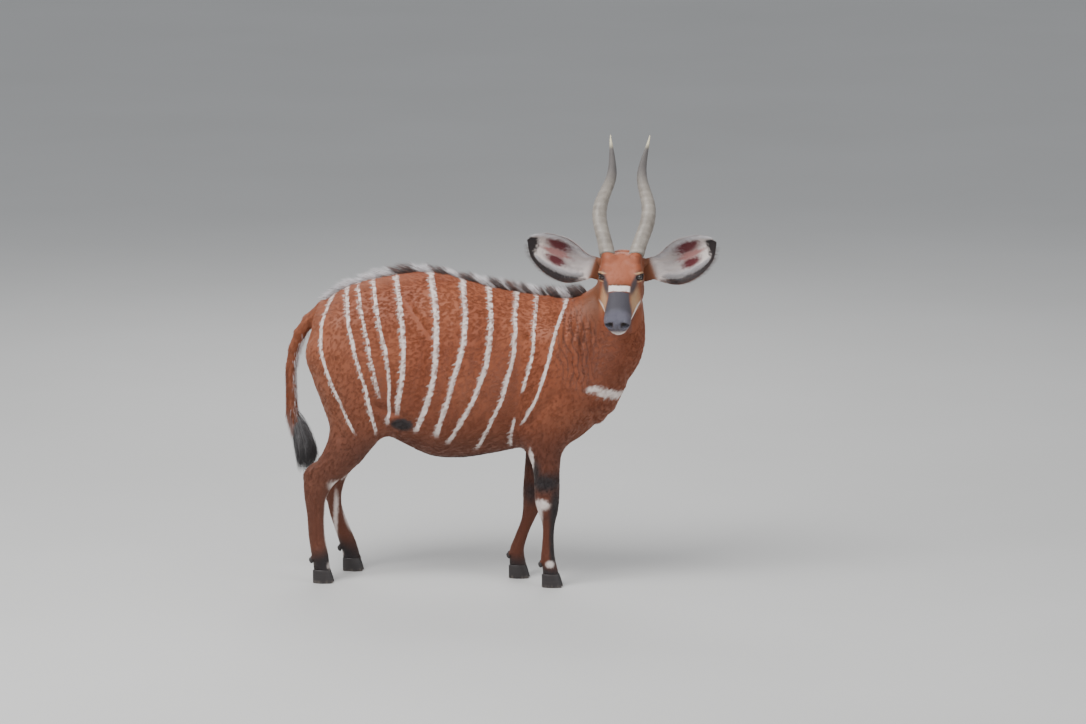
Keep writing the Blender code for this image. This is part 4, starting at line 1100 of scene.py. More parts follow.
@dataclass
class Skin:
    """The skin, with the ears as tubes of their own, and the lie and length of its coat."""

    flesh: Flesh
    ear: Ear
    cell: float = 0.0085
    low: Place = (-1.062, -0.38, 0.026)
    high: Place = (0.44, 0.28, 1.38)
    head_low: Place = (0.13, -0.345, 0.965)
    head_high: Place = (0.425, 0.10, 1.355)
    fine_spots: tuple = (
        ((0.098, -0.032, 0.072), 0.036),
        ((0.325, -0.050, 0.028), 0.030),
        ((0.325, -0.095, 0.010), 0.030),
    )
    neck_lie: Place = (-0.60, 0.0, -0.80)
    leg_lie: Place = (-0.22, 0.0, -1.0)
    tail_lie: Place = (-0.25, 0.0, -1.0)
    body_length: float = 0.0195
    leg_shorter: float = 0.0115
    pastern_longer: float = 0.007
    face_length: float = 0.0085
    nose_shorter: float = 0.0050
    ear_length: float = 0.0085

    def build(self) -> bpy.types.Mesh:
        """The skin's mesh in the modelling frame."""
        low, high, fine_low, fine_high = map(np.array, (self.low, self.high, self.head_low, self.head_high))
        points, faces = Net(self.flesh.skin, low, high, self.cell, fine_low, fine_high).mesh()
        LOG.info("net: %d points", len(points))
        points = settle(points, self.flesh.skin, 2)
        mesh = mesh_of("skin", points, faces)
        points = self.relaxed(mesh, points, 2)
        mesh.vertices.foreach_set("co", points.astype(np.float32).reshape(-1))
        mesh = self.refined(mesh)
        points = settle(points_of(mesh), self.flesh.skin, 2)
        return self.with_ears(mesh, points)

    def relaxed(self, mesh: bpy.types.Mesh, points: Array, rounds: int) -> Array:
        """Points evened out along the surface."""
        first, second = read(mesh.edges, "vertices", 2, np.int32).T
        count = np.bincount(np.concatenate([first, second]), minlength=len(points))[:, None]
        for _ in range(rounds):
            total = np.zeros_like(points)
            for k in range(3):
                total[:, k] = np.bincount(first, points[second, k], len(points))
                total[:, k] += np.bincount(second, points[first, k], len(points))
            points = points + 0.5 * (total / np.maximum(count, 1) - points)
            points = settle(points, self.flesh.skin, 1)
        return points

    def refined(self, mesh: bpy.types.Mesh) -> bpy.types.Mesh:
        """The mesh with smaller faces round the eyes, nostrils and lips."""
        head = self.flesh.head
        points = points_of(mesh)
        near = np.zeros(len(points), bool)
        for place, reach in self.fine_spots:
            for side in Side:
                near |= np.linalg.norm(points - head.on_side(place, side), axis=1) < reach
        bm = bmesh.new()
        bm.from_mesh(mesh)
        bm.verts.ensure_lookup_table()
        edges = [edge for edge in bm.edges if near[edge.verts[0].index] and near[edge.verts[1].index]]
        bmesh.ops.subdivide_edges(bm, edges=edges, cuts=1, use_grid_fill=True)
        bm.to_mesh(mesh)
        bm.free()
        mesh.shade_smooth()
        return mesh

    def with_ears(self, mesh: bpy.types.Mesh, points: Array) -> bpy.types.Mesh:
        """The skin with both ears, and with its attributes.

        Args:
            mesh: the skin without ears.
            points: its final points.

        Returns:
            The whole skin.
        """
        faces = [tuple(face.vertices) for face in mesh.polygons]
        regions = self.regions(np.array([points[list(face)].mean(0) for face in faces]))
        all_points = [points]
        all_places = [np.tile((-1.0, 0.0, -1.0), (len(points), 1))]
        all_regions = [regions]
        count = len(points)
        for side, region in ((Side.LEFT, Region.EAR_LEFT), (Side.RIGHT, Region.EAR_RIGHT)):
            ear_points, ear_faces, places = self.ear.mesh(side)
            faces += [tuple(count + k for k in face) for face in ear_faces]
            all_points.append(ear_points)
            all_places.append(places)
            all_regions.append(np.full(len(ear_faces), region.value))
            count += len(ear_points)
        points = np.concatenate(all_points)
        places = np.concatenate(all_places)
        skin = mesh_of("skin", points, faces)
        store(skin, "region", np.concatenate(all_regions), "FACE")
        store(skin, "root_place", points)
        store(skin, "ear_place", places)
        self.store_coat(skin, points, places)
        self.store_chart(skin, points, places)
        return skin

    def regions(self, points: Array) -> Array:
        """The number of the region that each point is on."""
        values = self.flesh.distances(points)
        values[:, Region.NECK.value] += 0.01
        found = values.argmin(1)
        return np.where(self.flesh.head.share(points) > 0.5, Region.HEAD.value, found)

    def store_coat(self, skin: bpy.types.Mesh, points: Array, places: Array) -> None:
        """Keeps the direction and the length of the coat at each point.

        Args:
            skin: the skin.
            points: its points.
            places: their places on the ears.
        """
        normals = read(skin.vertex_normals, "vector", 3).astype(float)
        head = self.flesh.head
        axes = head.axes
        values = self.flesh.distances(points)
        weights = np.exp(-np.maximum(values, -0.02) / 0.02)
        side_on = np.abs(normals[:, 1])
        lies = np.zeros((*values.shape, 3))
        lies[:, 0] = np.stack([-np.ones(len(points)), 0 * side_on, -0.15 - 0.75 * side_on], 1)
        lies[:, 1] = self.neck_lie
        lies[:, 2:6] = self.leg_lie
        lies[:, 6] = self.tail_lie
        body = (weights[:, :, None] * lies).sum(1) / weights.sum(1)[:, None]
        local = axes.local(points)
        cheek = np.abs(local[:, 2]) / 0.08
        face = -axes.along - 0.55 * np.minimum(cheek, 1.2)[:, None] * axes.up
        face = face + (0.5 * np.sign(local[:, 2]) * np.minimum(cheek, 1))[:, None] * axes.side
        share = head.share(points)[:, None]
        lie = body * (1 - share) + face * share
        length = self.body_length - self.leg_shorter * (1 - step(points[:, 2], 0.12, 0.62))
        short = self.face_length - self.nose_shorter * step(local[:, 0], 0.10, 0.30)
        length = length + self.pastern_longer * (1 - step(points[:, 2], 0.055, 0.085))
        length = length * (1 - share[:, 0]) + short * share[:, 0]
        rise = 0.085 - 0.02 * share[:, 0]
        for side in Side:
            on_ear = (places[:, 2] > -0.5) & (np.sign(local[:, 2]) == side.value)
            lie[on_ear] = self.ear.axes(side).along
        length = np.where(places[:, 2] > -0.5, self.ear_length, length)
        lie = lie - (lie * normals).sum(1)[:, None] * normals
        lie = unit(lie) + rise[:, None] * normals
        store(skin, "lie", unit(lie))
        store(skin, "hair_length", length)

    def chart(self, region: int, points: Array, places: Array) -> Array:
        """Places on the unwrap of the skin's own shape.

        Args:
            region: the region's number.
            points: the corners of one face or more.
            places: their places on the ear.

        Returns:
            Flat places, with the turn round the region first.
        """
        if region >= Region.EAR_LEFT.value:
            left = 0.0 if region == Region.EAR_LEFT.value else 0.10
            across = 0.022 + left + 0.020 * places[..., 1]
            across = 0.78 + across + 0.045 * (places[..., 2] > 0.5)
            return np.stack([across, 0.05 + 0.25 * places[..., 0]], -1)
        axes, along_first, along_last, base, size = self.charts()[region]
        local = axes.local(points)
        angle = np.arctan2(local[..., 2], local[..., 1])
        middle = np.arctan2(np.sin(angle).mean(-1), np.cos(angle).mean(-1))[..., None]
        angle = middle + (angle - middle + math.pi) % (2 * math.pi) - math.pi
        reach = np.hypot(local[..., 1], local[..., 2])
        share = (local[..., 0] - along_first) / (along_last - along_first)
        share = share + 0.25 * (share - 0.5) * (1 - np.minimum(reach / 0.1, 2.0))
        turn = 0.5 + angle / (2 * math.pi)
        return np.stack([base[0] + size[0] * turn, base[1] + size[1] * share], -1)

    def charts(self) -> list[tuple]:
        """For each region: axes, first and last place along, corner and size of its chart."""
        down = (0, 0, -1)
        neck = self.flesh.trunk.neck_axes()
        torso = Axes((0, 0, 0.84), (1, 0, 0), down)
        found = [(torso, -0.95, 0.26, (0.03, 0.52), (0.60, 0.44))]
        found.append((Axes(neck.origin, neck.along, (1, 0, 0)), -0.05, 0.45, (0.68, 0.62), (0.26, 0.30)))
        for i, limb in enumerate(LIMBS):
            middle = np.mean([(row[1] + row[2]) / 2 for row in limb.rows[-9:]])
            axes = Axes((middle, limb.rows[-1][3], 0), (0, 0, 1), (-1, 0, 0))
            found.append((axes, 0.03, 0.95, (0.03 + 0.135 * i, 0.04), (0.11, 0.44)))
        found.append((Axes((-0.98, 0, 0), (0, 0, 1), (1, 0, 0)), 0.50, 1.08, (0.575, 0.04), (0.05, 0.30)))
        head = self.flesh.head.axes
        middle = head.world(0.0, -0.070, 0)
        found.append((Axes(middle, head.along, -head.up), -0.06, 0.36, (0.66, 0.36), (0.28, 0.22)))
        return found

    def store_chart(self, skin: bpy.types.Mesh, points: Array, places: Array) -> None:
        """Gives the skin its unwrap as a UV map.

        Args:
            skin: the skin.
            points: its points.
            places: their places on the ears.
        """
        regions = read(skin.attributes["region"].data, "value")
        starts = read(skin.polygons, "loop_start", 1, np.int32)
        totals = read(skin.polygons, "loop_total", 1, np.int32)
        loops = read(skin.loops, "vertex_index", 1, np.int32)
        flat = np.zeros((len(loops), 2))
        for total in np.unique(totals):
            for region in Region:
                chosen = (totals == total) & (regions == region.value)
                if chosen.any():
                    corners = starts[chosen][:, None] + np.arange(total)
                    flat[corners] = self.chart(region.value, points[loops[corners]], places[loops[corners]])
        layer = skin.uv_layers.new(name=BAKE_MAP)
        layer.data.foreach_set("uv", np.clip(flat, 0.003, 0.997).astype(np.float32).reshape(-1))


@dataclass
class Strands:
    """Many thin tapered strands in one mesh: each leaves its root along its run and bends by its curl."""

    roots: list = field(default_factory=list)
    runs: list = field(default_factory=list)
    curls: list = field(default_factory=list)
    across: list = field(default_factory=list)
    widths: list = field(default_factory=list)
    pales: list = field(default_factory=list)
    segments: int = 3
    flatness: float = 0.45

    def add(self, root: Array, run: Array, curl: Array, across: Array, width: float, pale: float) -> None:
        """Adds one strand.

        Args:
            root: its root.
            run: from the root to the tip before it bends.
            curl: how far the tip bends.
            across: the direction across its flat side.
            width: its width.
            pale: 1 where it is white, 0 where it is dark.
        """
        self.roots.append(root)
        self.runs.append(run)
        self.curls.append(curl)
        self.across.append(across)
        self.widths.append(width)
        self.pales.append(pale)

    def mesh(self, name: str, chart: Callable[[Array], Array], draw: np.random.Generator) -> bpy.types.Mesh:
        """The strands as closed blades.

        Args:
            name: the mesh's name.
            chart: gives the place of each root on the skin's unwrap.
            draw: random numbers for the tints.

        Returns:
            The mesh, with its root places, tints and unwrap.
        """
        roots, runs, curls = (np.array(part, float) for part in (self.roots, self.runs, self.curls))
        across = unit(np.array(self.across, float))
        widths = np.array(self.widths)
        count = len(roots)
        rings = []
        for i in range(self.segments):
            share = i / self.segments
            middle = roots + runs * share + curls * share**2
            flat = unit(np.cross(unit(runs + 2 * curls * share), across))
            half = (widths / 2 * (1 - share) ** 0.5)[:, None]
            ring = (middle + across * half, middle - across * half, middle + flat * half * self.flatness)
            rings.append(np.stack(ring, 1))
        tips = (roots + runs + curls)[:, None]
        points = np.concatenate(rings + [tips], 1)
        size = points.shape[1]
        pattern = [(0, 1, 2)]
        for i in range(self.segments - 1):
            for k in range(3):
                a, b = 3 * i + k, 3 * i + (k + 1) % 3
                pattern.append((a, a + 3, b + 3))
                pattern.append((a, b + 3, b))
        last = 3 * (self.segments - 1)
        pattern += [(last + k, size - 1, last + (k + 1) % 3) for k in range(3)]
        faces = (np.arange(count)[:, None, None] * size + np.array(pattern)).reshape(-1, 3)
        mesh = mesh_of(name, points.reshape(-1, 3), faces.tolist())
        spread = np.repeat(np.arange(self.segments + 1) / self.segments, 3)[:size]
        blade = np.stack([spread, np.tile((0.0, 1.0, 0.5), self.segments + 1)[:size]], 1)
        flat = np.repeat(chart(roots), size, 0) + BAKE_PATCH * (np.tile(blade, (count, 1)) - 0.5)
        layer = mesh.uv_layers.new(name=BAKE_MAP)
        layer.data.foreach_set("uv", flat[faces.reshape(-1)].astype(np.float32).reshape(-1))
        store(mesh, "root_place", np.repeat(roots, size, 0))
        store(mesh, "tuft_place", np.tile(np.column_stack([blade, np.zeros(size)]), (count, 1)))
        store(mesh, "tint", np.repeat(draw.uniform(0, 1, count), size))
        store(mesh, "pale", np.repeat(np.array(self.pales), size))
        return mesh


@dataclass
class Tuft:
    """A tuft of short hair with a length of 1: a few closed diamond blades that fan out from one root."""

    blades: int
    fan: float
    width: float
    seed: int

    def mesh(self) -> bpy.types.Mesh:
        """The tuft, lying along +X with its back up."""
        draw = random.Random(self.seed)
        points = []
        faces = []
        places = []
        for i in range(self.blades):
            share = (i + 0.5) / self.blades * 2 - 1
            length = draw.uniform(0.78, 1.0)
            turn = share * self.fan + draw.uniform(-0.06, 0.06)
            start = np.array((draw.uniform(-0.30, 0.20), share * self.width / 2, -0.016))
            along = np.array((math.cos(turn), math.sin(turn), 0))
            across = np.array((-along[1], along[0], 0)) * self.width / self.blades * draw.uniform(0.30, 0.42)
            lift = np.array((0, 0, 1))
            middle = start + along * length * 0.45 + lift * draw.uniform(0.008, 0.024)
            tip = start + along * length + lift * draw.uniform(-0.040, 0.012)
            base = len(points)
            points += [start, middle + across, middle - across, middle + lift * 0.020, tip]
            faces += [(0, 3, 1), (0, 2, 3), (3, 4, 1), (2, 4, 3), (0, 1, 2), (1, 4, 2)]
            faces[-6:] = [tuple(base + k for k in face) for face in faces[-6:]]
            places += [(0, 0.5, i), (0.45, 1, i), (0.45, 0, i), (0.45, 0.5, i), (1, 0.5, i)]
        mesh = mesh_of("tuft", np.array(points), faces)
        store(mesh, "tuft_place", np.array(places, float))
        return mesh


class Wiring:
    """Adds nodes to a tree and joins them up."""

    def __init__(self, tree: bpy.types.NodeTree) -> None:
        """Starts on a tree.

        Args:
            tree: the node tree.
        """
        self.tree = tree

    def node(self, kind: str, *values: object, **settings: object) -> bpy.types.Node:
        """Adds a node.

        Args:
            kind: its type.
            values: a socket or a value for each input in turn, or None to leave it.
            settings: its properties.

        Returns:
            The node.
        """
        node = self.tree.nodes.new(kind)
        for name, value in settings.items():
            setattr(node, name, value)
        inputs = [socket for socket in node.inputs if socket.enabled]
        for socket, value in zip(inputs, values):
            self.join(socket, value)
        return node

    def join(self, socket: bpy.types.NodeSocket, value: object) -> None:
        """Links a socket to another, or sets its value."""
        if isinstance(value, bpy.types.NodeSocket):
            self.tree.links.new(value, socket)
        elif value is not None:
            socket.default_value = value

    def out(self, kind: str, *values: object, **settings: object) -> bpy.types.NodeSocket:
        """Adds a node and gives its first output in use."""
        node = self.node(kind, *values, **settings)
        return [socket for socket in node.outputs if socket.enabled][0]

    def math(self, operation: str, *values: object) -> bpy.types.NodeSocket:
        """A Math node's result."""
        return self.out("ShaderNodeMath", *values, operation=operation)

    def times(self, first: object, second: object) -> bpy.types.NodeSocket:
        """A product."""
        return self.math("MULTIPLY", first, second)

    def plus(self, first: object, second: object) -> bpy.types.NodeSocket:
        """A sum."""
        return self.math("ADD", first, second)

    def minus(self, first: object, second: object) -> bpy.types.NodeSocket:
        """A difference."""
        return self.math("SUBTRACT", first, second)

    def dot(self, first: object, second: Sequence[float]) -> bpy.types.NodeSocket:
        """How far a vector goes in a direction."""
        node = self.node("ShaderNodeVectorMath", first, tuple(second), operation="DOT_PRODUCT")
        return node.outputs["Value"]

    def stored(self, name: str, output: str = "Vector") -> bpy.types.NodeSocket:
        """A value that the mesh carries, for a shader."""
        return self.node("ShaderNodeAttribute", attribute_name=name).outputs[output]

    def bump(self, shader: bpy.types.Node, strength: float, distance: float, height: object) -> None:
        """Gives a shader the relief of a height."""
        node = self.fill(self.node("ShaderNodeBump", strength, distance), Height=height)
        self.fill(shader, Normal=node.outputs["Normal"])

    def vector(self, operation: str, *values: object) -> bpy.types.NodeSocket:
        """A Vector Math node's result."""
        return self.out("ShaderNodeVectorMath", *values, operation=operation)

    def mix(self, share: object, first: object, second: object) -> bpy.types.NodeSocket:
        """Two colours mixed by a share."""
        return self.out("ShaderNodeMix", share, first, second, data_type="RGBA")

    def soft(self, value: object, low: float, high: float) -> bpy.types.NodeSocket:
        """A soft step from 0 at low to 1 at high."""
        return self.out("ShaderNodeMapRange", value, low, high, 0.0, 1.0, interpolation_type="SMOOTHSTEP")

    def noise(self, vector: object, scale: float, detail: float = 2.0) -> bpy.types.NodeSocket:
        """Smooth noise about 0.5."""
        node = self.node("ShaderNodeTexNoise")
        self.join(node.inputs["Vector"], vector)
        node.inputs["Scale"].default_value = scale
        node.inputs["Detail"].default_value = detail
        return node.outputs["Fac"]

    def fill(self, node: bpy.types.Node, **values: object) -> bpy.types.Node:
        """Links or sets inputs of a node, with spaces in their names written as underscores."""
        for name, value in values.items():
            self.join(node.inputs[name.replace("_", " ")], value)
        return node

    def group(self, tree: bpy.types.NodeTree, **values: object) -> bpy.types.Node:
        """Places a node group with these values for its inputs."""
        node = self.tree.nodes.new(self.tree.bl_idname.replace("NodeTree", "NodeGroup"))
        node.node_tree = tree
        return self.fill(node, **values)


def new_group(
    name: str, kind: str, inputs: dict[str, str], outputs: dict[str, str]
) -> tuple[Wiring, dict, bpy.types.Node]:
    """Starts a node group.

    Args:
        name: its name.
        kind: its tree type.
        inputs: names and types of its inputs.
        outputs: names and types of its outputs.

    Returns:
        Its wiring, its inputs' sockets by name, and its output node.
    """
    tree = bpy.data.node_groups.new(name, kind)
    for label, sort in inputs.items():
        tree.interface.new_socket(label, in_out="INPUT", socket_type=f"NodeSocket{sort}")
    for label, sort in outputs.items():
        tree.interface.new_socket(label, in_out="OUTPUT", socket_type=f"NodeSocket{sort}")
    start = tree.nodes.new("NodeGroupInput")
    end = tree.nodes.new("NodeGroupOutput")
    return Wiring(tree), {label: start.outputs[label] for label in inputs}, end


def colour(red: int, green: int, blue: int) -> tuple[float, float, float, float]:
    """A colour on the usual scale to 255, as light values."""
    shares = [value / 255 for value in (red, green, blue)]
    return (*[s / 12.92 if s <= 0.04045 else ((s + 0.055) / 1.055) ** 2.4 for s in shares], 1.0)


@dataclass(frozen=True)
class Stripe:
    """A white stripe down the flank: places along and up that it runs through, and its half width."""

    run: tuple[tuple[float, float], ...]
    half: float
    top: float = 1.35

    def curve(self) -> Array:
        """Values of the curve that gives the place along for each height over the middle."""
        x, z = np.array(self.run).T
        found = np.polyfit(z - STRIPE_MIDDLE, x, min(3, len(x) - 1))[::-1]
        return np.append(found, np.zeros(4 - len(found)))

    def bottom(self) -> float:
        """Height at which it ends."""
        return min(z for _, z in self.run)


STRIPE_MIDDLE = 0.85
NECK_FOLD_SHADE_PITCH = 0.021
STRIPES = (
    Stripe(
        (
            (-0.834, 1.093), (-0.861, 1.007), (-0.862, 0.957),
            (-0.846, 0.889), (-0.785, 0.708), (-0.729, 0.594),
        ),
        0.0060,
    ),
    Stripe(((-0.776, 1.142), (-0.759, 1.046), (-0.714, 0.877), (-0.676, 0.738), (-0.651, 0.596)), 0.0062),
    Stripe(((-0.735, 1.158), (-0.694, 1.007), (-0.661, 0.877), (-0.628, 0.739)), 0.0052),
    Stripe(((-0.678, 1.178), (-0.632, 1.016), (-0.607, 0.898), (-0.591, 0.783), (-0.608, 0.633)), 0.0062),
    Stripe(((-0.591, 1.191), (-0.558, 1.110), (-0.548, 1.013), (-0.538, 0.840), (-0.567, 0.673)), 0.0085),
    Stripe(((-0.455, 1.202), (-0.419, 1.082), (-0.412, 0.898), (-0.439, 0.735), (-0.495, 0.605)), 0.0100),
    Stripe(((-0.331, 1.177), (-0.306, 1.057), (-0.338, 0.827), (-0.414, 0.589)), 0.0090),
    Stripe(((-0.234, 1.151), (-0.203, 0.999), (-0.244, 0.811), (-0.298, 0.678), (-0.374, 0.563)), 0.0085),
    Stripe(((-0.126, 1.133), (-0.115, 0.957), (-0.157, 0.756), (-0.268, 0.536)), 0.0065),
    Stripe(((-0.051, 1.124), (-0.043, 0.974), (-0.086, 0.768)), 0.0055),
    Stripe(((-0.120, 0.660), (-0.144, 0.545)), 0.0050, 0.665),
    Stripe(((0.066, 1.108), (0.034, 0.976), (-0.010, 0.805), (-0.090, 0.644)), 0.0062),
)


@dataclass(frozen=True)
class Patch:
    """A soft-edged patch of colour: its middle, half sizes, and how soft its edge is."""

    middle: Place
    reach: Place
    soft: float = 0.35


@dataclass(frozen=True)
class Markings:
    """The coat's colours and markings, with painted shade on the lower body, under the neck, in the neck's
    folds and inside the nostrils, used alike by skin and coat.
    """

    rust: tuple = colour(133, 66, 35)
    bright: tuple = colour(148, 80, 48)
    # Painted shade: the dark colour mixed in low on the body, under the neck and in the neck's folds.
    shade: tuple = colour(68, 33, 22)
    rump: tuple = colour(146, 88, 62)
    forehead: tuple = colour(161, 91, 63)
    white: tuple = colour(230, 218, 212)
    black: tuple = colour(34, 28, 30)
    slate: tuple = colour(66, 64, 72)
    nose: tuple = colour(92, 91, 104)
    buff: tuple = colour(186, 146, 108)
    brown: tuple = colour(108, 59, 31)
    ring: tuple = colour(36, 28, 28)
    tearline: tuple = colour(66, 54, 56)
    hollow: tuple = colour(98, 38, 44)
    pink: tuple = colour(168, 118, 114)
    body_white: tuple[Patch, ...] = (
        Patch((0.188, 0.120, 0.782), (0.036, 0.050, 0.013)),
        Patch((0.225, 0.095, 0.762), (0.036, 0.060, 0.015)),
        Patch((0.262, 0.050, 0.750), (0.040, 0.060, 0.015)),
        Patch((-0.060, 0.120, 0.500), (0.011, 0.050, 0.042), 0.5),
        Patch((-0.020, 0.118, 0.325), (0.030, 0.040, 0.020), 0.5),
        Patch((-0.030, 0.108, 0.290), (0.013, 0.030, 0.045), 0.6),
        Patch((0.012, 0.108, 0.092), (0.016, 0.022, 0.013), 0.5),
        Patch((-0.140, 0.110, 0.092), (0.016, 0.030, 0.013), 0.5),
        Patch((-0.125, 0.100, 0.330), (0.014, 0.040, 0.034), 0.6),
        Patch((-0.826, 0.112, 0.392), (0.026, 0.036, 0.026), 0.5),
        Patch((-0.853, 0.116, 0.250), (0.010, 0.014, 0.125), 0.5),
        Patch((-0.812, 0.130, 0.250), (0.018, 0.014, 0.125), 0.5),
        Patch((-0.832, 0.140, 0.070), (0.014, 0.030, 0.014), 0.5),
    )
    body_black: tuple[Patch, ...] = (
        Patch((-0.548, 0.175, 0.632), (0.046, 0.080, 0.026)),
        Patch((-0.050, 0.085, 0.445), (0.032, 0.070, 0.072), 0.5),
        Patch((-0.006, 0.090, 0.412), (0.068, 0.070, 0.044), 0.5),
        Patch((0.030, 0.080, 0.300), (0.024, 0.060, 0.120), 0.5),
        Patch((0.022, 0.086, 0.180), (0.014, 0.050, 0.130), 0.5),
        Patch((-0.080, 0.085, 0.340), (0.034, 0.060, 0.050), 0.6),
        # Painted shade: a dark strip along the belly's underside.
        Patch((-0.300, 0.000, 0.480), (0.260, 0.075, 0.050), 0.6),
        Patch((-0.010, 0.085, 0.034), (0.090, 0.060, 0.052), 0.4),
        Patch((-0.150, 0.085, 0.040), (0.070, 0.060, 0.052), 0.5),
        Patch((-0.850, 0.125, 0.040), (0.110, 0.060, 0.088), 0.35),
    )
    # Painted shade under the neck.
    throat: tuple[Patch, ...] = (Patch((0.20, 0.0, 0.93), (0.12, 0.16, 0.20), 0.6),)
    # Painted shade in the creases of the neck's folds.
    neck_lines: tuple[Patch, ...] = (Patch((0.12, 0.13, 0.95), (0.085, 0.11, 0.17), 0.5),)
    chevron: tuple[Patch, ...] = (Patch((0.1800, 0.0, 0.0), (0.0125, 0.3, 0.0400), 0.10),)
    bridge: tuple[Patch, ...] = (Patch((0.2450, 0.0, 0.0), (0.0530, 0.3, 0.0375), 0.10),)
    tear: tuple[Patch, ...] = (Patch((0.1520, 0.0, 0.0), (0.0480, 0.3, 0.0095), 0.60),)
    brow_edge: tuple[Patch, ...] = (Patch((0.164, 0.0, 0.0), (0.0045, 0.3, 0.040), 0.40),)
    face_white: tuple[Patch, ...] = (
        Patch((0.316, -0.088, 0.023), (0.018, 0.010, 0.010), 0.25),
        Patch((0.320, -0.118, 0.000), (0.040, 0.026, 0.036)),
        Patch((0.235, -0.104, 0.064), (0.080, 0.009, 0.032)),
        Patch((0.128, -0.128, 0.085), (0.018, 0.012, 0.030)),
    )
    face_dark: tuple[Patch, ...] = (
        Patch((0.280, -0.030, 0.030), (0.050, 0.050, 0.026), 0.40),
        Patch((0.325, -0.098, 0.010), (0.020, 0.0045, 0.040), 0.30),
    )
    # Painted shade: near black inside the nostrils.
    nostril: tuple[Patch, ...] = (Patch((0.326, -0.047, 0.028), (0.018, 0.0105, 0.0145), 0.30),)
    face_buff: tuple[Patch, ...] = (
        Patch((0.205, -0.040, 0.070), (0.060, 0.080, 0.026)),
        Patch((0.290, -0.095, 0.035), (0.040, 0.016, 0.030)),
    )
    eye_ring: tuple[Patch, ...] = (
        Patch((0.020, 0.000, 0.000), (0.030, 0.0130, 0.0245), 0.20),
        Patch((0.016, -0.007, 0.020), (0.030, 0.0100, 0.0170), 0.35),
    )
    eye_line: tuple[Patch, ...] = (
        Patch((0.014, 0.0165, -0.004), (0.030, 0.0038, 0.0190), 0.35),
        Patch((0.018, -0.0150, -0.004), (0.030, 0.0026, 0.0170), 0.40),
    )
    ear_hollows: tuple[Patch, ...] = (
        Patch((0.55, 0.36, 1.0), (0.22, 0.32, 9.0), 0.50),
        Patch((0.54, -0.20, 1.0), (0.16, 0.16, 9.0), 0.55),
    )
    ear_ridge: tuple[Patch, ...] = (Patch((0.56, 0.02, 1.0), (0.24, 0.09, 9.0), 0.45),)
    ear_top: tuple[Patch, ...] = (Patch((0.84, 0.80, 1.0), (0.13, 0.38, 9.0), 0.30),)
    muzzle: Patch = Patch((0.316, -0.050, 0.0), (0.052, 0.046, 0.060), 0.30)


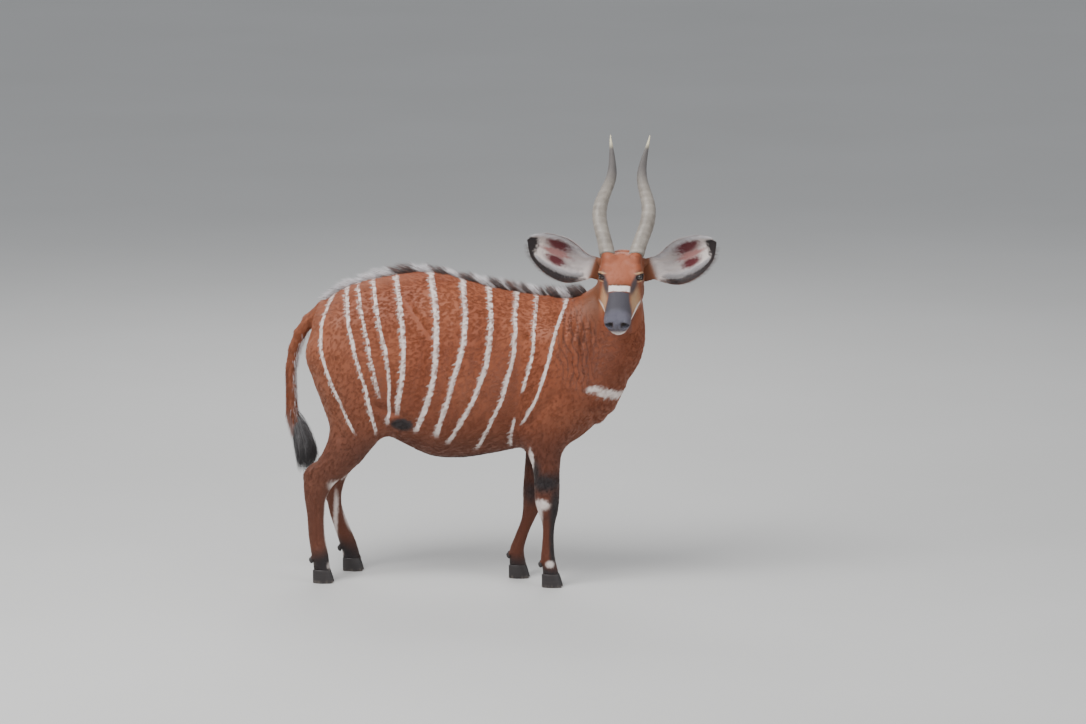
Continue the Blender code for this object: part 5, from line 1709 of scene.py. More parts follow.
class CoatPainter:
    """Builds the shader node groups that give skin and coat their colours."""

    def __init__(self, marks: Markings, head: Head) -> None:
        """Builds the groups.

        Args:
            marks: the markings.
            head: the head, whose axes the face markings follow.
        """
        self.marks = marks
        self.head = head
        self.patch = self.patch_group("Oval patch mask", False)
        self.panel = self.patch_group("Square patch mask", True)
        self.stripe = self.stripe_group()
        self.tree = self.markings_group()

    def patch_group(self, name: str, square: bool) -> bpy.types.NodeTree:
        """A group that masks one soft-edged patch.

        Args:
            name: the group's name.
            square: for a patch with straight edges, or else an oval one.

        Returns:
            The group.
        """
        inputs = {"Place": "Vector", "Middle": "Vector", "Reach": "Vector", "Soft": "Float"}
        wires, given, end = new_group(name, "ShaderNodeTree", inputs, {"Mask": "Float"})
        away = wires.vector("SUBTRACT", given["Place"], given["Middle"])
        away = wires.vector("ABSOLUTE", wires.vector("DIVIDE", away, given["Reach"]))
        if square:
            parts = wires.node("ShaderNodeSeparateXYZ", away)
            away = wires.math("MAXIMUM", parts.outputs["X"], parts.outputs["Y"])
            away = wires.math("MAXIMUM", away, parts.outputs["Z"])
        else:
            away = wires.node("ShaderNodeVectorMath", away, operation="LENGTH").outputs["Value"]
        low = wires.minus(1.0, given["Soft"])
        high = wires.plus(1.0, given["Soft"])
        wires.join(end.inputs["Mask"], wires.minus(1.0, wires.soft(away, low, high)))
        return wires.tree

    def stripe_group(self) -> bpy.types.NodeTree:
        """A group that masks one stripe: a curve of the height, with a half width and two ends."""
        names = ("Start", "Lean", "Bend", "Twist", "Half", "Top", "Bottom", "Ragged")
        inputs = {"Place": "Vector", **{name: "Float" for name in names}}
        wires, given, end = new_group("Stripe mask", "ShaderNodeTree", inputs, {"Mask": "Float"})
        parts = wires.node("ShaderNodeSeparateXYZ", given["Place"])
        height = wires.minus(parts.outputs["Z"], STRIPE_MIDDLE)
        middle = wires.math("MULTIPLY_ADD", height, given["Twist"], given["Bend"])
        middle = wires.math("MULTIPLY_ADD", height, middle, given["Lean"])
        middle = wires.math("MULTIPLY_ADD", height, middle, given["Start"])
        away = wires.math("ABSOLUTE", wires.minus(parts.outputs["X"], middle))
        away = wires.math("DIVIDE", away, given["Half"])
        away = wires.plus(away, given["Ragged"])
        line = wires.minus(1.0, wires.soft(away, 0.70, 1.30))
        above = wires.soft(wires.minus(parts.outputs["Z"], given["Bottom"]), -0.012, 0.020)
        below = wires.soft(wires.minus(given["Top"], parts.outputs["Z"]), -0.008, 0.010)
        mask = wires.times(wires.times(line, above), below)
        wires.join(end.inputs["Mask"], mask)
        return wires.tree

    def patches(
        self, wires: Wiring, place: object, patches: Sequence[Patch], tree: bpy.types.NodeTree | None = None
    ) -> bpy.types.NodeSocket:
        """The union of some patches' masks.

        Args:
            wires: the group's wiring.
            place: the place to look at.
            patches: the patches.
            tree: the mask's group, if it isn't the oval one.

        Returns:
            The mask.
        """
        total: object = 0.0
        tree = tree or self.patch
        for patch in patches:
            group = wires.group(tree, Place=place, Middle=patch.middle, Reach=patch.reach, Soft=patch.soft)
            total = wires.math("MAXIMUM", group.outputs["Mask"], total)
        return total

    def markings_group(self) -> bpy.types.NodeTree:
        """The group that gives the coat's colour, with its painted shade, at a place on the body or an ear.
        """
        marks = self.marks
        inputs = {"Place": "Vector", "Ear": "Vector"}
        outputs = {"Colour": "Color", "Bare": "Float", "White": "Float"}
        wires, given, end = new_group("Bongo markings", "ShaderNodeTree", inputs, outputs)
        place = given["Place"]
        parts = wires.node("ShaderNodeSeparateXYZ", place)
        x, y, z = (parts.outputs[axis] for axis in "XYZ")
        wide = wires.noise(place, 5.0, 3.0)
        fine = wires.noise(place, 90.0, 2.0)
        side = wires.math("ABSOLUTE", y)
        far = wires.soft(y, -0.004, 0.004)
        sway = wires.minus(wires.noise(place, 9.0, 1.0), 0.5)
        sway = wires.times(sway, 0.016)
        sway = wires.math("MULTIPLY_ADD", far, wires.math("MULTIPLY_ADD", wide, 0.10, -0.04), sway)
        along = wires.plus(x, sway)
        ragged = wires.math("MULTIPLY_ADD", fine, 1.4, -0.7)
        bent = wires.out("ShaderNodeCombineXYZ", along, side, z)
        white: object = 0.0
        for stripe in STRIPES:
            start, lean, bend, twist = (float(value) for value in stripe.curve())
            group = wires.group(
                self.stripe,
                Place=bent,
                Start=start,
                Lean=lean,
                Bend=bend,
                Twist=twist,
                Half=stripe.half,
                Top=stripe.top,
                Bottom=stripe.bottom(),
                Ragged=ragged,
            )
            white = wires.math("MAXIMUM", group.outputs["Mask"], white)
        shade = wires.soft(z, 0.66, 0.50)
        tone = wires.mix(wires.soft(wide, 0.35, 0.70), marks.rust, marks.bright)
        tone = wires.mix(wires.times(wires.soft(x, -0.45, -0.90), 0.55), tone, marks.rump)
        # Painted shade: darker lower down the body, most strongly below the flanks.
        tone = wires.mix(wires.times(wires.soft(z, 1.02, 0.58), 0.36), tone, marks.shade)
        tone = wires.mix(wires.times(shade, 0.55), tone, marks.shade)
        # Painted shade under the neck.
        tone = wires.mix(wires.times(self.patches(wires, bent, marks.throat), 0.35), tone, marks.shade)
        # Painted shade in the creases of the neck's folds.
        line = wires.math("MULTIPLY_ADD", z, 0.22, x)
        line = wires.math("MULTIPLY_ADD", wires.noise(place, 7.0, 2.0), 0.10, line)
        line = wires.soft(wires.math("SINE", wires.times(line, 2 * math.pi / NECK_FOLD_SHADE_PITCH)), 0.15, 1.0)
        line = wires.times(wires.times(line, self.patches(wires, bent, marks.neck_lines)), 0.60)
        tone = wires.mix(line, tone, marks.shade)
        jitter = wires.times(wires.minus(fine, 0.5), 0.010)
        folded = wires.out("ShaderNodeCombineXYZ", wires.plus(x, jitter), side, wires.plus(z, jitter))
        # Black markings of legs and flank, with painted shade along the belly's underside.
        dark = self.patches(wires, folded, marks.body_black)
        tone = wires.mix(dark, tone, marks.black)
        pale = self.patches(wires, folded, marks.body_white)
        white = wires.math("MAXIMUM", pale, white)
        body = wires.mix(wires.times(white, 0.92), tone, marks.white)
        face, bare = self.face(wires, place, fine)
        throat = self.head.axes.world(*self.head.throat, 0)
        past = wires.dot(wires.vector("SUBTRACT", place, tuple(throat)), unit(self.head.face))
        on_head = wires.soft(past, -0.020, 0.045)
        whole = wires.mix(on_head, body, face)
        ear = wires.node("ShaderNodeSeparateXYZ", given["Ear"])
        on_ear = wires.soft(ear.outputs["X"], 0.00, 0.10)
        whole = wires.mix(on_ear, whole, self.ear(wires, ear, fine))
        wires.join(end.inputs["Colour"], whole)
        wires.join(end.inputs["Bare"], wires.times(bare, on_head))
        wires.join(end.inputs["White"], wires.times(white, wires.minus(1.0, on_head)))
        return wires.tree

    def face(self, wires: Wiring, place: object, fine: object) -> tuple[object, object]:
        """The face's colour, and the mask of its bare muzzle.

        Args:
            wires: the markings group.
            place: the place on the body.
            fine: fine noise.

        Returns:
            The colour and the mask.
        """
        marks = self.marks
        axes = self.head.axes
        from_crown = wires.vector("SUBTRACT", place, tuple(axes.origin))
        local = [wires.dot(from_crown, direction) for direction in (axes.along, axes.up, axes.side)]
        jitter = wires.times(wires.minus(fine, 0.5), 0.005)
        spot_side = wires.math("ABSOLUTE", local[2])
        spot = wires.out("ShaderNodeCombineXYZ", wires.plus(local[0], jitter), local[1], spot_side)
        brow = wires.times(wires.soft(local[0], 0.17, 0.12), wires.soft(spot_side, 0.075, 0.050))
        tone = wires.mix(brow, marks.rust, marks.forehead)
        sheared = wires.math("MULTIPLY_ADD", spot_side, 0.16, local[0])
        band = wires.out("ShaderNodeCombineXYZ", sheared, 0.0, spot_side)
        widening = wires.math("MULTIPLY_ADD", local[0], -0.13, wires.plus(spot_side, 0.13 * 0.19))
        bridge = wires.out("ShaderNodeCombineXYZ", local[0], 0.0, widening)
        slanting = wires.math("MULTIPLY_ADD", local[0], 0.26, wires.plus(spot_side, -0.062 - 0.26 * 0.115))
        tear = wires.out("ShaderNodeCombineXYZ", local[0], 0.0, slanting)
        tone = wires.mix(wires.soft(spot_side, 0.070, 0.090), tone, marks.brown)
        tone = wires.mix(self.patches(wires, spot, marks.face_buff), tone, marks.buff)
        tone = wires.mix(self.patches(wires, tear, marks.tear), tone, marks.tearline)
        tone = wires.mix(self.patches(wires, spot, marks.face_dark), tone, marks.slate)
        tone = wires.mix(self.patches(wires, bridge, marks.bridge, self.panel), tone, marks.slate)
        tone = wires.mix(self.patches(wires, band, marks.brow_edge, self.panel), tone, marks.brown)
        tone = wires.mix(self.patches(wires, band, marks.chevron, self.panel), tone, marks.white)
        tone = wires.mix(self.patches(wires, spot, marks.face_white), tone, marks.white)
        eye = self.head.eye_axes(Side.LEFT)
        from_eye = wires.vector("SUBTRACT", spot, self.head.eye_place)
        turned = [
            wires.dot(from_eye, axes.matrix().T @ direction) for direction in (eye.along, eye.up, eye.side)
        ]
        lids = wires.out("ShaderNodeCombineXYZ", *turned)
        tone = wires.mix(self.patches(wires, lids, marks.eye_line), tone, marks.buff)
        tone = wires.mix(self.patches(wires, lids, marks.eye_ring), tone, marks.ring)
        bare = self.patches(wires, spot, (marks.muzzle,))
        tone = wires.mix(bare, tone, marks.nose)
        # Painted shade inside the nostrils.
        tone = wires.mix(self.patches(wires, spot, marks.nostril), tone, marks.ring)
        return tone, bare

    def ear(self, wires: Wiring, ear: bpy.types.Node, fine: object) -> bpy.types.NodeSocket:
        """The ear's colour.

        Args:
            wires: the markings group.
            ear: the place on the ear, in parts.
            fine: fine noise.

        Returns:
            The colour.
        """
        marks = self.marks
        jitter = wires.times(wires.minus(fine, 0.5), 0.14)
        share = wires.plus(ear.outputs["X"], jitter)
        turn = wires.plus(ear.outputs["Y"], jitter)
        inside = wires.soft(ear.outputs["Z"], 0.45, 0.55)
        spot = wires.out("ShaderNodeCombineXYZ", share, turn, 1.0)
        inner = wires.mix(self.patches(wires, spot, marks.ear_hollows), marks.white, marks.hollow)
        inner = wires.mix(self.patches(wires, spot, marks.ear_ridge), inner, marks.pink)
        lower = wires.times(wires.soft(turn, -0.42, -0.60), wires.soft(share, 0.06, 0.22))
        inner = wires.mix(lower, inner, marks.black)
        inner = wires.mix(wires.soft(share, 0.80, 0.88), inner, marks.black)
        rim = wires.times(wires.soft(turn, 0.86, 0.96), wires.soft(share, 0.55, 0.40))
        inner = wires.mix(rim, inner, marks.brown)
        back = wires.mix(wires.soft(share, 0.70, 0.95), marks.rust, marks.black)
        whole = wires.mix(inside, back, inner)
        top = self.patches(wires, spot, marks.ear_top)
        return wires.mix(wires.times(top, inside), whole, marks.white)


@dataclass(frozen=True)
class CoatFinish:
    """The finish of skin and short coat: the shared markings under a soft gloss."""

    name: str
    roughness: float
    sheen: float
    grain: float

    def material(self, painter: CoatPainter, on_skin: bool) -> bpy.types.Material:
        """The finish as a material.

        Args:
            painter: the shared node groups.
            on_skin: for the skin itself, with short flat fur as bump, or else for tufts.

        Returns:
            The material.
        """
        material, wires, shader = new_material(self.name)
        place = wires.stored("root_place")
        ear = wires.stored("ear_place")
        marks = wires.group(painter.tree, Place=place, Ear=ear)
        tone = marks.outputs["Colour"]
        bare = marks.outputs["Bare"]
        if on_skin:
            flat = wires.node("ShaderNodeUVMap", uv_map=BAKE_MAP).outputs["UV"]
            drawn = wires.vector("MULTIPLY", flat, (1.0, 0.20, 1.0))
            hair = wires.noise(drawn, 1500.0, 2.0)
            cobbles = wires.node("ShaderNodeTexVoronoi", feature="DISTANCE_TO_EDGE")
            wires.join(cobbles.inputs["Vector"], place)
            cobbles.inputs["Scale"].default_value = 420.0
            pebble = wires.soft(cobbles.outputs["Distance"], 0.0, 0.25)
            height = wires.mix(bare, hair, pebble)
            tone = wires.mix(wires.times(wires.minus(hair, 0.5), 0.9), tone, (0.02, 0.01, 0.01, 1))
        else:
            tint = wires.stored("tint", "Fac")
            blade = wires.stored("tuft_place")
            hair = wires.noise(wires.vector("MULTIPLY", blade, (1.2, 9.0, 7.0)), 3.0, 2.0)
            height = hair
            run = wires.node("ShaderNodeSeparateXYZ", blade).outputs["X"]
            light = wires.math("MULTIPLY_ADD", tint, 0.09, 0.94)
            light = wires.math("MULTIPLY_ADD", run, 0.05, light)
            tone = wires.out("ShaderNodeHueSaturation", 0.5, 1.0, light, 1.0, tone)
        wires.join(shader.inputs["Base Color"], tone)
        rough = wires.math("MULTIPLY_ADD", bare, -0.25, self.roughness)
        wires.join(shader.inputs["Roughness"], rough)
        shader.inputs["Sheen Weight"].default_value = self.sheen
        shader.inputs["Sheen Roughness"].default_value = 0.45
        shader.inputs["Sheen Tint"].default_value = colour(235, 200, 180)
        shader.inputs["Specular IOR Level"].default_value = 0.42
        wires.bump(shader, self.grain, 0.0012, height)
        return material


@dataclass(frozen=True)
class LongHairFinish:
    """The finish of crest, mane, tail tuft and fringes: dark and white strands."""

    name: str
    dark: tuple = colour(52, 36, 32)
    white: tuple = colour(232, 228, 230)
    warm: tuple = colour(150, 78, 40)
    warmth: float = 0.15

    def material(self) -> bpy.types.Material:
        """The finish as a material."""
        material, wires, shader = new_material(self.name)
        pale = wires.stored("pale", "Fac")
        tint = wires.stored("tint", "Fac")
        blade = wires.stored("tuft_place")
        run = wires.node("ShaderNodeSeparateXYZ", blade).outputs["X"]
        base = wires.mix(wires.times(wires.soft(tint, 0.55, 1.0), self.warmth * 4), self.dark, self.warm)
        tone = wires.mix(pale, base, self.white)
        light = wires.math("MULTIPLY_ADD", tint, 0.30, 0.78)
        light = wires.math("MULTIPLY_ADD", run, 0.10, light)
        tone = wires.out("ShaderNodeHueSaturation", 0.5, 1.0, light, 1.0, tone)
        wires.join(shader.inputs["Base Color"], tone)
        shader.inputs["Roughness"].default_value = 0.50
        shader.inputs["Sheen Weight"].default_value = 0.15
        grain = wires.noise(wires.vector("MULTIPLY", blade, (1.0, 8.0, 1.0)), 3.0, 1.0)
        wires.bump(shader, 0.3, 0.0008, grain)
        return material


@dataclass(frozen=True)
class HornFinish:
    """The finish of the horns: grey-brown with worn rings and painted shade in the grooves between them,
    paler at the tips.
    """

    base: tuple = colour(96, 88, 80)
    worn: tuple = colour(152, 144, 134)
    upper: tuple = colour(84, 80, 80)
    tip: tuple = colour(214, 204, 172)

    def material(self) -> bpy.types.Material:
        """The finish as a material."""
        material, wires, shader = new_material("horn_keratin")
        place = wires.stored("horn_place")
        parts = wires.node("ShaderNodeSeparateXYZ", place)
        share, ring = parts.outputs["X"], parts.outputs["Z"]
        where = wires.node("ShaderNodeTexCoord").outputs["Object"]
        streak = wires.noise(wires.vector("MULTIPLY", place, (3.0, 9.0, 0.0)), 6.0, 4.0)
        blot = wires.noise(where, 28.0, 3.0)
        tone = wires.mix(wires.times(wires.soft(blot, 0.40, 0.75), 0.45), self.worn, self.base)
        tone = wires.mix(wires.times(wires.soft(share, 0.36, 0.68), 0.85), tone, self.upper)
        # Painted shade: darker in the grooves between the lower rings.
        low = wires.times(wires.soft(ring, 0.45, 0.0), wires.soft(share, 0.62, 0.45))
        tone = wires.mix(wires.times(low, 0.14), tone, self.base)
        tone = wires.mix(wires.times(wires.soft(streak, 0.50, 0.75), 0.25), tone, self.base)
        tone = wires.mix(wires.soft(share, 0.84, 0.93), tone, self.tip)
        wires.join(shader.inputs["Base Color"], tone)
        wires.join(shader.inputs["Roughness"], wires.math("MULTIPLY_ADD", blot, 0.25, 0.32))
        grain = wires.noise(wires.vector("MULTIPLY", place, (60.0, 10.0, 0.0)), 3.0, 3.0)
        wires.bump(shader, 0.45, 0.001, wires.math("MULTIPLY_ADD", streak, 1.4, grain))
        return material


@dataclass(frozen=True)
class HoofFinish:
    """The finish of hooves and dewclaws: near black, with faint growth lines and scuffed edges."""

    dark: tuple = colour(38, 34, 36)
    scuffed: tuple = colour(92, 84, 78)

    def material(self) -> bpy.types.Material:
        """The finish as a material."""
        material, wires, shader = new_material("hoof_horn")
        where = wires.node("ShaderNodeTexCoord").outputs["Object"]
        lines = wires.noise(wires.vector("MULTIPLY", where, (18.0, 18.0, 240.0)), 1.0, 2.0)
        down = wires.noise(wires.vector("MULTIPLY", where, (170.0, 170.0, 14.0)), 1.0, 3.0)
        height = wires.node("ShaderNodeSeparateXYZ", where).outputs["Z"]
        wear = wires.times(wires.soft(height, 0.020, 0.0), wires.soft(down, 0.35, 0.65))
        tone = wires.mix(wires.math("MAXIMUM", wear, wires.times(lines, 0.25)), self.dark, self.scuffed)
        wires.join(shader.inputs["Base Color"], tone)
        wires.join(shader.inputs["Roughness"], wires.math("MULTIPLY_ADD", down, 0.30, 0.28))
        wires.bump(shader, 0.5, 0.0008, wires.plus(lines, down))
        return material


@dataclass(frozen=True)
class EyeFinish:
    """The finish of the eyes: dark brown iris with a wide level pupil under a wet gloss."""

    iris: tuple = colour(62, 34, 18)
    ring: tuple = colour(24, 14, 10)
    pupil: tuple = colour(6, 5, 8)
    white: tuple = colour(120, 96, 84)

    def material(self, patch: bpy.types.NodeTree) -> bpy.types.Material:
        """The finish as a material, with the pupil masked by the given group."""
        material, wires, shader = new_material("eye_wet")
        place = wires.stored("eye_place")
        parts = wires.node("ShaderNodeSeparateXYZ", place)
        up, side = parts.outputs["Y"], parts.outputs["Z"]
        out = wires.math("SQRT", wires.plus(wires.times(up, up), wires.times(side, side)))
        rays = wires.noise(wires.vector("MULTIPLY", place, (0.0, 1.0, 1.0)), 7.0, 5.0)
        tone = wires.mix(wires.soft(rays, 0.3, 0.7), self.ring, self.iris)
        oval = wires.group(patch, Place=place, Middle=(1.0, 0.0, 0.0), Reach=(2.0, 0.24, 0.42), Soft=0.10)
        tone = wires.mix(oval.outputs["Mask"], tone, self.pupil)
        tone = wires.mix(wires.soft(out, 0.66, 0.74), tone, self.ring)
        tone = wires.mix(wires.soft(out, 0.80, 0.95), tone, self.white)
        wires.join(shader.inputs["Base Color"], tone)
        shader.inputs["Roughness"].default_value = 0.12
        shader.inputs["Coat Weight"].default_value = 1.0
        shader.inputs["Coat Roughness"].default_value = 0.02
        wires.bump(shader, 0.1, 0.0004, rays)
        return material


def new_material(name: str) -> tuple[bpy.types.Material, Wiring, bpy.types.Node]:
    """A new material, its wiring and its shader."""
    material = bpy.data.materials.new(name)
    material.use_nodes = True
    return material, Wiring(material.node_tree), material.node_tree.nodes["Principled BSDF"]


@dataclass
class Bed:
    """A stretch of skin that carries one piece of the short coat."""

    name: str
    slot: str
    regions: tuple[Region, ...]
    cover: float
    window: Callable[[Array], Array] | None = None


def quarter(side: Side, rear: bool) -> Callable[[Array], Array]:
    """A test for places in one quarter of the trunk: a side, and its rear or front half."""

    def inside(places: Array) -> Array:
        """Which places are in the quarter."""
        left = places[:, 1] >= 0
        behind = places[:, 0] < FLANK_MIDDLE
        return (left == (side is Side.LEFT)) & (behind == rear)

    return inside


FLANK_MIDDLE = -0.40


@dataclass
class ShortCoat:
    """The short coat: tufts spread over the skin by Geometry Nodes."""

    skin: bpy.types.Mesh
    density: float = 4.6
    width_share: float = 0.36
    jitter: float = 0.055
    kinds: int = 4
    blades: int = 5
    fan: float = 0.16
    beds: tuple[Bed, ...] = (
        Bed("coat_flank_right_rear", "coat", (Region.TORSO,), 1.0, quarter(Side.RIGHT, True)),
        Bed("coat_flank_right_front", "coat", (Region.TORSO,), 1.0, quarter(Side.RIGHT, False)),
        Bed("coat_flank_left_rear", "coat", (Region.TORSO,), 1.0, quarter(Side.LEFT, True)),
        Bed("coat_flank_left_front", "coat", (Region.TORSO,), 1.0, quarter(Side.LEFT, False)),
        Bed("coat_neck", "coat", (Region.NECK,), 1.0),
        Bed("coat_foreleg_right", "leg", (Region.FORELEG_RIGHT,), 0.62),
        Bed("coat_foreleg_left", "leg", (Region.FORELEG_LEFT,), 0.62),
        Bed("coat_hindleg_right", "leg", (Region.HINDLEG_RIGHT,), 0.68),
        Bed("coat_hindleg_left", "leg", (Region.HINDLEG_LEFT,), 0.68),
        Bed("coat_tail", "coat", (Region.TAIL,), 1.5),
        Bed("coat_head", "head", (Region.HEAD,), 0.23),
        Bed("coat_ears", "ear", (Region.EAR_LEFT, Region.EAR_RIGHT), 0.36),
    )

    def tree(self) -> bpy.types.NodeTree:
        """The Geometry Nodes tree that sets tufts on a skin along its stored lie."""
        inputs = {
            "Skin": "Geometry",
            "Tufts": "Collection",
            "Width": "Float",
            "Jitter": "Float",
            "Seed": "Int",
            "Finish": "Material",
        }
        wires, given, end = new_group("Short coat", "GeometryNodeTree", inputs, {"Coat": "Geometry"})

        def named(name: str, kind: str) -> bpy.types.NodeSocket:
            """A stored attribute."""
            return wires.out("GeometryNodeInputNamedAttribute", name, data_type=kind)

        def drawn(kind: str, low: object, high: object, extra: int) -> bpy.types.NodeSocket:
            """A random value that differs for each tuft."""
            node = wires.node("FunctionNodeRandomValue", low, high, data_type=kind)
            wires.join(node.inputs["Seed"], wires.plus(given["Seed"], float(extra)))
            return [socket for socket in node.outputs if socket.enabled][0]

        spread = wires.node("GeometryNodeDistributePointsOnFaces", distribute_method="RANDOM")
        wires.fill(spread, Mesh=given["Skin"], Density=named("bed", "FLOAT"), Seed=given["Seed"])
        points = wires.node("GeometryNodeStoreNamedAttribute", data_type="FLOAT", domain="POINT")
        wires.fill(points, Geometry=spread.outputs["Points"], Name="tint")
        wires.fill(points, Value=drawn("FLOAT", 0.0, 1.0, 1))
        parts = [drawn("FLOAT", -1.0, 1.0, extra) for extra in (2, 3, 4)]
        wobble = wires.out("ShaderNodeCombineXYZ", *parts)
        lie = wires.node("ShaderNodeVectorMath", wobble, operation="SCALE")
        wires.fill(lie, Scale=given["Jitter"])
        lie = wires.vector("ADD", named("lie", "FLOAT_VECTOR"), lie.outputs["Vector"])
        turn = wires.node("FunctionNodeAxesToRotation", primary_axis="X", secondary_axis="Z")
        wires.fill(turn, Primary_Axis=lie, Secondary_Axis=spread.outputs["Normal"])
        length = wires.times(named("hair_length", "FLOAT"), drawn("FLOAT", 0.75, 1.20, 5))
        scale = wires.out("ShaderNodeCombineXYZ", length, wires.times(length, given["Width"]), length)
        tufts = wires.node("GeometryNodeCollectionInfo", given["Tufts"], True, True)
        copies = wires.node("GeometryNodeInstanceOnPoints")
        wires.fill(copies, Points=points.outputs["Geometry"], Instance=tufts.outputs[0], Pick_Instance=True)
        wires.fill(copies, Instance_Index=drawn("INT", 0, self.kinds - 1, 6))
        wires.fill(copies, Rotation=turn.outputs["Rotation"], Scale=scale)
        real = wires.out("GeometryNodeRealizeInstances", copies.outputs["Instances"])
        patch = wires.node("ShaderNodeVectorMath", named("tuft_place", "FLOAT_VECTOR"), operation="SCALE")
        wires.fill(patch, Scale=BAKE_PATCH)
        flat = wires.vector("ADD", named(BAKE_MAP, "FLOAT_VECTOR"), patch.outputs["Vector"])
        chart = wires.node("GeometryNodeStoreNamedAttribute", data_type="FLOAT2", domain="CORNER")
        wires.fill(chart, Geometry=real, Name=BAKE_MAP, Value=flat)
        dressed = wires.node("GeometryNodeSetMaterial")
        wires.fill(dressed, Geometry=chart.outputs["Geometry"], Material=given["Finish"])
        wires.join(end.inputs["Coat"], dressed.outputs["Geometry"])
        return wires.tree

    def build(self, maker: Maker, finish: bpy.types.Material) -> None:
        """Makes each bed's piece of coat.

        Args:
            maker: makes the pieces.
            finish: the coat's material.
        """
        tufts = bpy.data.collections.new("short_tufts")
        for i in range(self.kinds):
            shape = Tuft(self.blades, self.fan, 1.0, SEED + i).mesh()
            tufts.objects.link(bpy.data.objects.new(f"tuft_{i}", shape))
        carrier = bpy.data.objects.new("coat_carrier", self.skin)
        bpy.context.scene.collection.objects.link(carrier)
        tree = self.tree()
        regions = read(self.skin.attributes["region"].data, "value")
        centres = read(self.skin.polygons, "center", 3)
        lengths = read(self.skin.attributes["hair_length"].data, "value")
        firsts = np.array([face.vertices[0] for face in self.skin.polygons])
        places = read(self.skin.attributes["ear_place"].data, "vector", 3)
        for i, bed in enumerate(self.beds):
            mask = np.isin(regions, [region.value for region in bed.regions])
            mask &= ~((places[firsts, 2] > 0.5) & (np.abs(places[firsts, 1]) < 0.93))
            if bed.window:
                mask &= bed.window(centres)
            store(self.skin, "bed", mask * bed.cover * self.density / lengths[firsts] ** 2, "FACE")
            mesh = self.grown(carrier, tree, tufts, finish, SEED * 100 + i)
            maker.publish(mesh, bed.name, None)
        bpy.data.objects.remove(carrier)
        for tuft in list(tufts.objects):
            bpy.data.objects.remove(tuft)
        bpy.data.collections.remove(tufts)

    def grown(
        self,
        carrier: bpy.types.Object,
        tree: bpy.types.NodeTree,
        tufts: bpy.types.Collection,
        finish: bpy.types.Material,
        seed: int,
    ) -> bpy.types.Mesh:
        """One piece of coat as a plain mesh.

        Args:
            carrier: the skin's object, with the bed marked on it.
            tree: the Geometry Nodes tree.
            tufts: the tufts to choose from.
            finish: the coat's material.
            seed: the seed of all that is random.

        Returns:
            The mesh.
        """
        modifier = carrier.modifiers.new("Coat", "NODES")
        modifier.node_group = tree
        values = {
            "Tufts": tufts,
            "Width": self.width_share,
            "Jitter": self.jitter,
            "Seed": seed,
            "Finish": finish,
        }
        for item in tree.interface.items_tree:
            if item.in_out == "INPUT" and item.name in values:
                modifier[item.identifier] = values[item.name]
        bpy.context.view_layer.update()
        graph = bpy.context.evaluated_depsgraph_get()
        mesh = bpy.data.meshes.new_from_object(carrier.evaluated_get(graph))
        carrier.modifiers.remove(modifier)
        for name in ("bed", "region", "lie", "hair_length"):
            if name in mesh.attributes:
                mesh.attributes.remove(mesh.attributes[name])
        mesh.shade_flat()
        return mesh


